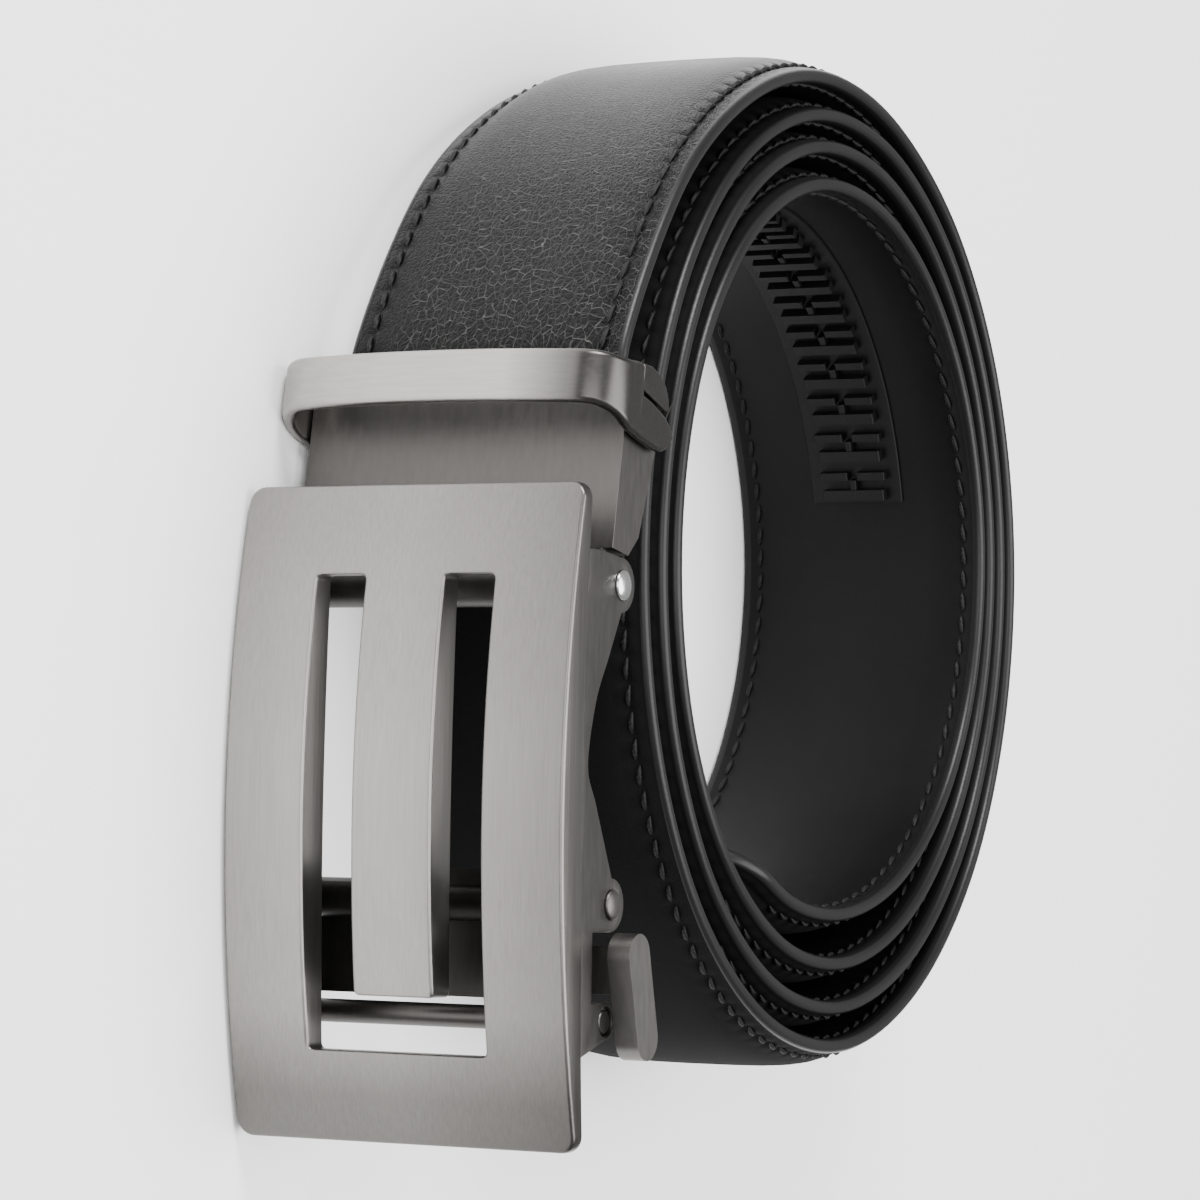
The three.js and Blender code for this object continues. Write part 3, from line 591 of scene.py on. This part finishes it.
ROUTE = strap_route()
ROUTE_AT = np.concatenate([[0], np.cumsum(np.linalg.norm(np.diff(ROUTE, axis=0), axis=1))])
LENGTH = ROUTE_AT[-1]


def eased_step(value, low, high):
    """0 below the low end, 1 above the high end and a smooth change between."""
    t = min(max((value - low) / (high - low), 0), 1)
    return t * t * (3 - 2 * t)


def crown_at(at):
    """How far the padding swells at a distance along the strap: less where the next turn is close."""
    place = np.interp(at, ROUTE_AT, np.arange(len(ROUTE_AT))) / STEPS_PER_POINT - HELD_POINTS
    first, last = COIL_ROWS[0][0], COIL_ROWS[-1][0]
    turn = first + place * (last - first) / round((last - first) * POINTS_PER_TURN)
    free = STRAP_CROWN
    if turn - 1 >= first:
        pitch = (inset_at(turn) - inset_at(turn - 1)) * TURN_PITCH
        free = min(STRAP_CROWN, pitch - STRAP_EDGE - TURN_GAP)
    return HELD_CROWN + (free - HELD_CROWN) * eased_step(turn, first, LEAVES_CLAMP)


ACROSS = np.array([0, 0, 1])
TANGENT_REACH = 0.8


def along_strap(at):
    """The strap's centre and its outward direction at these distances along it."""
    at = np.asarray(at, float)
    centre = np.stack([np.interp(at, ROUTE_AT, ROUTE[:, k]) for k in range(3)], -1)
    low = np.stack([np.interp(at - TANGENT_REACH, ROUTE_AT, ROUTE[:, k]) for k in range(3)], -1)
    high = np.stack([np.interp(at + TANGENT_REACH, ROUTE_AT, ROUTE[:, k]) for k in range(3)], -1)
    ahead_of = high - low
    ahead_of /= np.linalg.norm(ahead_of, axis=-1, keepdims=True)
    outward = np.cross(ACROSS, ahead_of)
    outward /= np.linalg.norm(outward, axis=-1, keepdims=True)
    return centre, outward


# The outer face by how far in from the edge it is: its share of the crown, and the dip of the seam.
FACE_ROWS = [
    (0.7, 0.0, 0.0),
    (1.2, 0.03, 0.06),
    (1.8, 0.1, 0.05),
    (2.2, 0.15, -0.06),
    (2.6, 0.2, -0.2),
    (2.95, 0.27, -0.12),
    (3.4, 0.38, 0.0),
    (4.1, 0.54, 0.03),
    (5.2, 0.72, 0.02),
    (6.8, 0.86, 0.0),
    (9.5, 0.95, 0.0),
    (13.5, 0.99, 0.0),
]
# The lining by how far in from the edge it is, and its dip: the last row is its middle.
LINING_ROWS = [(1.2, 0), (2.2, 0), (2.6, 0.12), (3.0, 0), (8, -0.02), (17.5, -0.02)]
# The painted edge's rounding: how far in from the lining each point is, and how far in from the side.
EDGE_ROWS = [(0, 0.6), (0.22, 0.2), (0.5, 0.03)]
TIP_RADIUS = 9
STRAP_RINGS = 560
TIP_RINGS = 16


def strap_ring():
    """The section: how far out and across each point is, its share of the crown, and its zone."""
    half, face = STRAP_WIDTH / 2, STRAP_EDGE / 2
    low_edge = [(deep - face, inset - half) for deep, inset in EDGE_ROWS] + [(0, -half)]
    low_edge += [(-out, across) for out, across in reversed(low_edge[:-1])]
    outer = [(face + dip, inset - half, share) for inset, share, dip in FACE_ROWS]
    outer += [(face, 0.0, 1.0)]
    outer += [(out, -across, share) for out, across, share in reversed(outer[:-1])]
    high_edge = [(out, -across) for out, across in reversed(low_edge)]
    inner = [(-face + dip, half - inset) for inset, dip in LINING_ROWS]
    inner += [(out, -across) for out, across in reversed(inner[:-1])]
    before = [(*point, 0.0) for point in low_edge]
    after = [(*point, 0.0) for point in high_edge + inner]
    leather, edge, lining = 0, 1, 2
    zones = [edge] * len(low_edge) + [leather] * (len(outer) - 1)
    zones += [edge] * (len(high_edge) + 1) + [lining] * (len(inner) - 1) + [edge]
    return np.array(before + outer + after), zones


def build_strap():
    """The strap: its padded face, its painted edges and its flat lining, lofted along its route."""
    ring, zones = strap_ring()
    body = np.linspace(0, LENGTH - TIP_RADIUS, STRAP_RINGS, endpoint=False)
    tip = LENGTH - TIP_RADIUS * np.cos(np.linspace(0, math.pi / 2, TIP_RINGS))
    at = np.concatenate([body, tip])
    at[-1] = LENGTH
    centre, outward = along_strap(at)
    half = STRAP_WIDTH / 2
    into_tip = np.clip((at - (LENGTH - TIP_RADIUS)) / TIP_RADIUS, 0, 1)
    reach = half - TIP_RADIUS * (1 - np.sqrt(np.clip(1 - into_tip**2, 0, 1)))
    narrowed = np.clip(ring[None, :, 1] * (reach / half)[:, None], -half, half)
    crown = np.array([crown_at(value) for value in at])
    out = ring[None, :, 0] + ring[None, :, 2] * crown[:, None]
    rings = centre[:, None] + outward[:, None] * out[..., None] + ACROSS * narrowed[..., None]
    sides = np.diff(ring[:, :2], axis=0, append=ring[:1, :2])
    around = np.concatenate([[0], np.cumsum(np.linalg.norm(sides, axis=1))])
    bm = lofted(to_frame(rings), uv=lambda row, column: (at[row], around[column]), zones=zones)
    mesh = mesh_of(bm, "belt_strap")
    paints = [LEATHER, EDGE_PAINT, LINING]
    finished("belt_strap", mesh, paints, "belt", ["strap"], 60)


STITCH_INSET = 2.6
STITCH_FROM_END = 3
STITCH_FROM_TIP = 11
STITCH_SHARE = 0.86
STITCH_SLANT = 0.35
THREAD_WIDTH = 0.62
THREAD_RISE = 0.26
THREAD_ARCH = 1.5
LINING_SHARE = 0.45
SEAM_CROWN = 0.2
SEAM_DIP = 0.1


def one_stitch():
    """A short plump thread along x, one millimetre long and one across."""
    bm = bmesh.new()
    bmesh.ops.create_uvsphere(bm, u_segments=6, v_segments=6, radius=0.5)
    bmesh.ops.rotate(bm, verts=bm.verts, matrix=Matrix.Rotation(math.pi / 2, 3, "Y"))
    return bm


def build_stitching():
    """Both rows of stitches on the face and on the lining: one stitch, doubled into an array."""
    half, face = STRAP_WIDTH / 2, STRAP_EDGE / 2
    in_a_row = int((LENGTH - STITCH_FROM_END - STITCH_FROM_TIP) / STITCH_PITCH)
    starts = STITCH_FROM_END + np.arange(in_a_row) * STITCH_PITCH
    slots = [(at, side, out) for side in (-1, 1) for out in (1, -1) for at in starts]
    bm = one_stitch()
    apart, count = 10, 1
    while count < len(slots):
        copied = bmesh.ops.duplicate(bm, geom=bm.verts[:] + bm.edges[:] + bm.faces[:])["geom"]
        moved = [item for item in copied if isinstance(item, bmesh.types.BMVert)]
        bmesh.ops.translate(bm, verts=moved, vec=(count * apart, 0, 0))
        count *= 2
    spare = [v for v in bm.verts if round(v.co.x / apart) >= len(slots)]
    bmesh.ops.delete(bm, geom=spare, context="VERTS")
    flat = np.array([v.co for v in bm.verts])
    which = np.rint(flat[:, 0] / apart).astype(int)
    local = flat - np.stack([which * apart, 0 * which, 0 * which], -1)
    rows = np.array(slots)
    at, side, out = rows[which, 0], rows[which, 1], rows[which, 2]
    centre, outward = along_strap(at + (local[:, 0] + 0.5) * STITCH_PITCH * STITCH_SHARE)
    crown = np.array([crown_at(value) for value in starts])
    seam = np.interp(at, starts, crown) * SEAM_CROWN - SEAM_DIP
    level = np.where(out > 0, face + seam, -face)
    raised = THREAD_RISE - THREAD_ARCH * np.abs(local[:, 0]) ** 2
    lift = out * raised * np.where(out > 0, 1, LINING_SHARE) + local[:, 1] * THREAD_WIDTH
    across = side * (half - STITCH_INSET + local[:, 0] * STITCH_SLANT) + local[:, 2] * THREAD_WIDTH
    places = centre + outward * (level + lift)[:, None] + ACROSS * across[:, None]
    for vert, place in zip(bm.verts, to_frame(places)):
        vert.co = place
    mesh = mesh_of(bm, "strap_stitching")
    finished("strap_stitching", mesh, [THREAD], "belt", smooth_angle=80)


# The rack's raised bars by where they start and end along it, their sides, and how much lower than the
# highest they are: a long bar, a post, and a pair of short bars.
RACK_BARS = [
    (0.4, 1.9, -4.4, 4.4, 0),
    (1.9, 3.3, -0.45, 0.45, 0.15),
    (3.3, 4.4, -4.7, -0.7, 0.1),
    (3.3, 4.4, 0.7, 4.7, 0.1),
]
RACK_BAR_HEIGHT = RACK_BASE + 0.85
RACK_BAR_PITCH = RACK_PITCH - 0.07
RACK_SHOWS_FROM = RACK_FROM_TIP + 1.8
RACK_RIM = 0.12


def rack_bar(start, end, left, right, height, stations=3):
    """A raised bar that follows the strap: its distances from the tip, its sides and its height."""
    at = LENGTH - np.linspace(start, end, stations)
    centre, outward = along_strap(at)
    foot = -STRAP_EDGE / 2 - 0.02
    top, rim = foot - height, foot - height + RACK_RIM
    sides = [(foot, left), (rim, left), (top, left + RACK_RIM)]
    sides += [(top, right - RACK_RIM), (rim, right), (foot, right)]
    section = np.array(sides)
    rings = centre[:, None] + outward[:, None] * section[None, :, :1] + ACROSS * section[None, :, 1:]
    return lofted(to_frame(rings))


def build_rack():
    """The rack: a strip along the strap's inner face, with long bars, posts and pairs of short bars."""
    half, end = RACK_WIDTH / 2, RACK_FROM_TIP + RACK_TEETH * RACK_PITCH
    parts = [rack_bar(RACK_SHOWS_FROM, end, -half, half, RACK_BASE / 2, 90)]
    for i in range(RACK_TEETH):
        at = RACK_SHOWS_FROM + i * RACK_BAR_PITCH
        for start, stop, left, right, lower in RACK_BARS:
            parts.append(rack_bar(at + start, at + stop, left, right, RACK_BAR_HEIGHT - lower))
    mesh = mesh_of(merged(parts), "rack_strip")
    finished("rack_strip", mesh, [PLASTIC], "belt", ["ratchet_rack"])


# the buckle
def rounded_corner_box(half_x, half_y, radius, steps=8):
    """A rectangle about the origin with rounded corners, anticlockwise."""
    x, y = half_x - radius, half_y - radius
    corners = [((x, -y), -0.5), ((x, y), 0), ((-x, y), 0.5), ((-x, -y), 1)]
    return [p for centre, start in corners for p in arc(centre, radius, start, start + 0.5, steps)]


def eased(points, radius, steps=5):
    """An outline of straight sides with each corner rounded."""
    out = []
    p = np.array(points, float)
    for i in range(len(p)):
        before, at, after = p[i - 1], p[i], p[(i + 1) % len(p)]
        enter = at + (before - at) / np.linalg.norm(before - at) * radius
        leave = at + (after - at) / np.linalg.norm(after - at) * radius
        for t in np.linspace(0, 1, steps):
            out.append(tuple((1 - t) ** 2 * enter + 2 * t * (1 - t) * at + t * t * leave))
    return out


PLATE_DEPTH = 4
PLATE_RIM = 0.42
PLATE_CORNER = 1.8
SLOT_CORNER = 0.7
CROWN_STEP = 1.5
EAR_FOOT = 0.6
EAR_SHELF = 4.2
EAR_PAST_HINGE = 3.6
EAR_PAST_GUIDE = 4
HINGE_LOBE = 3
AXLE_LOBE = 2.9
GUIDE_LOBE = 2
BORE_ROOM = 0.3

# The ear's scooped back edge: shares of the way from the axle to the hinge, and of the depth.
SCOOP_LEVEL = 2.4
EAR_SCOOP = [(0.27, 0.3), (0.42, 0.02), (0.66, 0.24), (0.83, 0.62)]


def slot_outline():
    """The face's slot, in the shape of a U round its tongue bar."""
    half_x, half_z = PLATE_LENGTH / 2, PLATE_WIDTH / 2
    top, bottom = PLATE_BAR - half_x, half_x - PLATE_BAR
    tongue_end = bottom - PLATE_SLOT
    side, tongue = half_z - PLATE_BAR, PLATE_BAR / 2
    outer = [(top, -side), (bottom, -side), (bottom, side), (top, side)]
    inner = [(top, tongue), (tongue_end, tongue), (tongue_end, -tongue), (top, -tongue)]
    return eased(outer + inner, SLOT_CORNER)


def ear_outlines():
    """An ear's outline from the side, and its three bores."""
    ear = [(HINGE[0] - EAR_PAST_HINGE, EAR_FOOT), (GUIDE[0] + EAR_PAST_GUIDE, EAR_FOOT)]
    ear += arc(GUIDE, GUIDE_LOBE, 0, 1, 10)
    ear += [(GUIDE[0] - GUIDE_LOBE, EAR_SHELF), (AXLE[0] + AXLE_LOBE, EAR_SHELF)]
    ear += arc(AXLE, AXLE_LOBE, 0, 1, 14)
    start, end = AXLE[0] - AXLE_LOBE, HINGE[0] + HINGE_LOBE
    edge = [(start, AXLE[1])]
    for share, deep in EAR_SCOOP:
        edge.append((start + share * (end - start), SCOOP_LEVEL + deep * (HINGE[1] - SCOOP_LEVEL)))
    edge.append((end, HINGE[1]))
    ear += through(edge)[1:-1]
    ear += arc(HINGE, HINGE_LOBE, 0, 1, 14) + [(HINGE[0] - EAR_PAST_HINGE, HINGE[1] / 2)]
    bores = [arc(at, PIN_RADIUS + BORE_ROOM, 0, 2, 25)[:-1] for at in (HINGE, AXLE, GUIDE)]
    return [ear] + bores


def crowned(p):
    """Bows a flat plate's points: its front by the crown, its back by the hollow."""
    share = np.clip((p[:, 0] + PLATE_LENGTH / 2) / PLATE_LENGTH, 0, 1)
    front = -4 * PLATE_CROWN * share * (1 - share)
    back = PLATE_END - 4 * PLATE_HOLLOW * share * (1 - share)
    y = np.where(p[:, 2] < PLATE_DEPTH / 2, front + p[:, 2], back - (PLATE_DEPTH - p[:, 2]))
    return np.stack([p[:, 0], y, p[:, 1]], -1)


def build_face():
    """The face plate with its slot, and the two ears behind it."""
    half_x = PLATE_LENGTH / 2
    rim = rounded_corner_box(half_x, PLATE_WIDTH / 2, PLATE_CORNER)
    bm = outline_mesh([rim, slot_outline()], PLATE_DEPTH, PLATE_RIM)
    for x in np.arange(CROWN_STEP - half_x, half_x - 1, CROWN_STEP):
        everything, cut = bm.verts[:] + bm.edges[:] + bm.faces[:], (x, 0, 0)
        bmesh.ops.bisect_plane(bm, geom=everything, plane_co=cut, plane_no=(1, 0, 0), dist=1e-5)
    parts = [placed(bm, crowned)]
    for low in (-EAR_OUTER, EAR_INNER):
        wall = outline_mesh(ear_outlines(), EAR_OUTER - EAR_INNER, 0.15, 1)
        for face in wall.faces:
            face.material_index = 1
        parts.append(placed(wall, lambda p, low=low: p + low * ACROSS))
    mesh, paints = mesh_of(merged(parts), "face_plate"), [BRUSHED, SATIN]
    finished("face_plate", mesh, paints, "buckle_frame", ["face_frame"], 40)


def weighted(piece):
    """Keeps flat faces flat in their shading, beside small rounded rims."""
    made = piece.modifiers.new("even_normals", "WEIGHTED_NORMAL")
    made.keep_sharp = True


def dressed(name, node, materials, body, rim, segments=3):
    """A copy of a solid with its edges rounded."""
    bm = bmesh.new()
    bm.from_mesh(nodes[node].data)
    bmesh.ops.remove_doubles(bm, verts=bm.verts, dist=2e-6)
    bmesh.ops.dissolve_limit(bm, angle_limit=math.radians(1), verts=bm.verts, edges=bm.edges)
    piece = finished(name, mesh_of(bm, name), materials, body, [node], 40)
    made = piece.modifiers.new("rim", "BEVEL")
    made.width = rim * MM
    made.segments = segments
    made.profile = 0.5
    made.affect = "EDGES"
    made.limit_method = "ANGLE"
    made.angle_limit = math.radians(35)
    made.material = -1
    made.use_clamp_overlap = True
    weighted(piece)
    return piece


def turned(profile):
    """A round piece about the z axis, from (radius, height) points, spun once round."""
    bm = bmesh.new()
    verts = [bm.verts.new((r, 0, z)) for r, z in profile]
    edges = [bm.edges.new(pair) for pair in zip(verts, verts[1:])]
    bmesh.ops.spin(bm, geom=verts + edges, axis=(0, 0, 1), angle=2 * math.pi, steps=40, use_merge=True)
    bmesh.ops.remove_doubles(bm, verts=bm.verts, dist=1e-4)
    return bm


def pinned(profile, at):
    """A round piece on an upright axis at a place in the belt's x and y."""
    return placed(turned(profile), lambda p: p + np.array([*at, 0]))


HEAD_RADIUS = 1.65
HEAD_SEAT = EAR_OUTER + 0.05
HEAD_RIM = 0.1
HEAD_DOME = 0.5
PIN_CHAMFER = 0.15
SPRING_TURNS = 4.5
SPRING_RADIUS = 2.1
SPRING_WIRE_RADIUS = 0.3
SPRING_SPAN = (7.4, 10.2)
SPRING_STEPS = 120


def build_pins():
    """The pins across both ears: two with a low dome outside each ear, and one plain."""
    for name, node, at, finish, slot in (
        ("hinge_rivet", "hinge_pin", HINGE, BRIGHT, "bright_steel"),
        ("axle_rivet", "lever_axle", AXLE, SATIN, "satin_nickel"),
    ):
        angles = np.linspace(0.0, math.pi / 2, 9)
        level = HEAD_SEAT + HEAD_RIM
        dome = [(HEAD_RADIUS * math.sin(a), level + HEAD_DOME * math.cos(a)) for a in angles]
        upper = dome + [(HEAD_RADIUS, HEAD_SEAT), (PIN_RADIUS, HEAD_SEAT)]
        profile = upper + [(r, -z) for r, z in reversed(upper)]
        mesh = mesh_of(pinned(profile, at), name)
        finished(name, mesh, [finish], "buckle_frame", [node], 45)
    end = EAR_OUTER - 0.1
    plain = [(0, end), (PIN_RADIUS - PIN_CHAMFER, end), (PIN_RADIUS, end - PIN_CHAMFER)]
    profile = plain + [(r, -z) for r, z in reversed(plain)]
    mesh = mesh_of(pinned(profile, GUIDE), "guide_rod")
    finished("guide_rod", mesh, [SATIN], "buckle_frame", ["guide_pin"], 45)


def build_spring():
    """The return spring: a wire wound round the axle."""
    data = bpy.data.curves.new("spring", "CURVE")
    data.dimensions = "3D"
    data.bevel_depth = SPRING_WIRE_RADIUS
    data.bevel_resolution = 3
    data.use_fill_caps = True
    spline = data.splines.new("POLY")
    spline.points.add(SPRING_STEPS)
    low, high = SPRING_SPAN
    for i, point in enumerate(spline.points):
        t = i / SPRING_STEPS
        a = t * SPRING_TURNS * 2 * math.pi
        across = AXLE[0] + SPRING_RADIUS * math.cos(a), AXLE[1] + SPRING_RADIUS * math.sin(a)
        point.co = (*across, low + t * (high - low), 1)
    mesh = mesh_of(placed(curve_bmesh(data)), "lever_spring")
    finished("lever_spring", mesh, [BRIGHT], "buckle_frame", ["return_spring"], 80)


# The loop's top and bottom edges in the clamp's axes, by depth: the bar, then the arm's hump.
LOOP_ROWS = [
    (-11.0, -24.2, -18.4),
    (-8.0, -24.2, -18.2),
    (-6.0, -24.0, -17.5),
    (-4.5, -24.1, -16.8),
    (-3.0, -24.4, -16.4),
    (-1.7, -24.5, -16.3),
    (-1.5, -21.2, -16.2),
    (1.1, -20.9, -16.0),
    (3.0, -20.5, -15.9),
    (4.6, -20.1, -16.0),
    (5.6, -19.5, -16.5),
    (6.2, -18.8, -17.3),
    (6.45, -18.2, -18.0),
]

# The hump above each arm: a small plate with a seam between it and the arm.
HUMP = [(-21.6, -1.3), (-24.5, -1.4), (-24.7, 0.5), (-24.3, 2.6)]
HUMP += [(-23.4, 4.2), (-22.2, 5.1), (-21.1, 5.4), (-20.6, 5.1)]
HUMP_THICKNESS = 0.9
HUMP_SET_IN = 0.2
LOOP_FRONT = COVER_FRONT - 7.5
LOOP_CORNER = 4.6
LOOP_BOW = 1.1
LOOP_ARM_END = 6.45
LOOP_BAR_WALLS = [(-1, 1.75), (3, 1.6), (6, LOOP_WALL)]
LOOP_ROUNDING = 0.7
CAM_ROD_RADIUS = 1.5
CAM_ROD_END = LOOP_HALF - 0.4


def loop_plan():
    """The loop's middle line from above, as (z, y): an arm, a rounded corner, the bowed bar and back."""
    across = LOOP_HALF - LOOP_WALL / 2
    bend = LOOP_FRONT + LOOP_CORNER + 0.6
    side = [(-across, y) for y in np.linspace(LOOP_ARM_END, bend, 40)]
    for a in np.linspace(0, math.pi / 2, 14)[1:]:
        z = -across + LOOP_CORNER * (1 - math.cos(a))
        side.append((z, bend - (LOOP_CORNER - 0.2) * math.sin(a)))
    reach, level = -side[-1][0], side[-1][1]
    bar = [(t * reach, level - LOOP_BOW * (1 - t**2)) for t in np.linspace(-1, 1, 36)[1:]]
    return np.array(side + bar + [(-z, y) for z, y in reversed(side)])


def rounded_section(half_x, half_t):
    """Points round a section with rounded corners: how far each is along x and out from the middle."""
    radius = min(LOOP_ROUNDING, half_x * 0.9, half_t * 0.9)
    x, t = half_x - radius, half_t - radius
    for start, centre in ((0, (x, t)), (0.5, (-x, t)), (1, (-x, -t)), (1.5, (x, -t))):
        yield from arc(centre, radius, start, start + 0.5, 7)


def build_loop():
    """The keeper loop: a bowed bar with rounded ends, an arm on each side back to the pivots with a hump
    above it, and the cam rod."""
    plan = loop_plan()
    ahead_of = np.gradient(plan, axis=0)
    ahead_of /= np.linalg.norm(ahead_of, axis=1, keepdims=True)
    outward = np.stack([ahead_of[:, 1], -ahead_of[:, 0]], -1)
    depth, tops, bottoms = np.array(LOOP_ROWS).T
    low, high = np.interp(plan[:, 1], depth, tops), np.interp(plan[:, 1], depth, bottoms)
    places, walls = np.array(LOOP_BAR_WALLS).T
    thick = np.interp(plan[:, 1], LOOP_FRONT + places, walls)
    rings = []
    for (z, y), (oz, oy), x0, x1, wall in zip(plan, outward, low, high, thick):
        middle = (x0 + x1) / 2
        section = rounded_section((x1 - x0) / 2, wall / 2)
        rings.append([(middle + dx, y + oy * dt, z + oz * dt) for dx, dt in section])
    parts = [lofted(to_frame(clamp_points(np.array(rings))))]
    for low_side in (HUMP_SET_IN - LOOP_HALF, LOOP_HALF - HUMP_SET_IN - HUMP_THICKNESS):
        plate = outline_mesh([eased(HUMP, 0.3, 4)], HUMP_THICKNESS, 0.18, 3)
        parts.append(placed(plate, lambda p, low_side=low_side: clamp_points(p + low_side * ACROSS)))
    half = [(0, CAM_ROD_END), (CAM_ROD_RADIUS, CAM_ROD_END)]
    rod = turned(half + [(r, -z) for r, z in reversed(half)])
    parts.append(placed(rod, lambda p: clamp_points(p + np.array([*LOOP_PIVOT, 0]))))
    mesh = mesh_of(merged(parts), "keeper_loop")
    finished("keeper_loop", mesh, [LOOP_NICKEL], "loop", ["clamp_loop"], 45)


build_strap()
build_stitching()
build_rack()
build_face()
build_loop()
build_pins()
build_spring()
dressed("strap_clamp", "clamp_channel", [SATIN], "belt", 0.2)
dressed("lever", "release_lever", [LEVER_NICKEL], "lever", 0.7)


# stage
floor_mesh = bpy.data.meshes.new("floor")
floor_bm = bmesh.new()
bmesh.ops.create_grid(floor_bm, x_segments=1, y_segments=1, size=3)
floor_bm.to_mesh(floor_mesh)
floor_bm.free()
floor = bpy.data.objects.new("floor", floor_mesh)
bpy.context.scene.collection.objects.link(floor)
floor_paint, _, floor_shader = material("floor_paint")
floor_shader.inputs["Base Color"].default_value = colour("#ffffff")
floor_shader.inputs["Roughness"].default_value = 0.8
floor_mesh.materials.append(floor_paint)


def lamp(name, place, aim, size, power):
    """A soft square light at a place, facing a point."""
    data = bpy.data.lights.new(name, "AREA")
    data.energy = power
    data.size = size
    holder = bpy.data.objects.new(name, data)
    bpy.context.scene.collection.objects.link(holder)
    holder.location = place
    holder.rotation_mode = "QUATERNION"
    holder.rotation_quaternion = (Vector(aim) - Vector(place)).to_track_quat("-Z", "Y")


lamp("key", (-0.9, -0.4, 0.5), (0, 0, 0.02), 0.36, 18)
lamp("front", (-0.1, -1.1, 0.7), (0, -0.1, 0.02), 0.8, 10)
lamp("top", (0.1, 0.1, 1.2), (0, 0, 0), 1.2, 33)

world = bpy.data.worlds.new("studio")
bpy.context.scene.world = world
world.use_nodes = True
sky = world.node_tree.nodes["Background"]
sky.inputs["Color"].default_value = colour("#ffffff")
sky.inputs["Strength"].default_value = 0.46
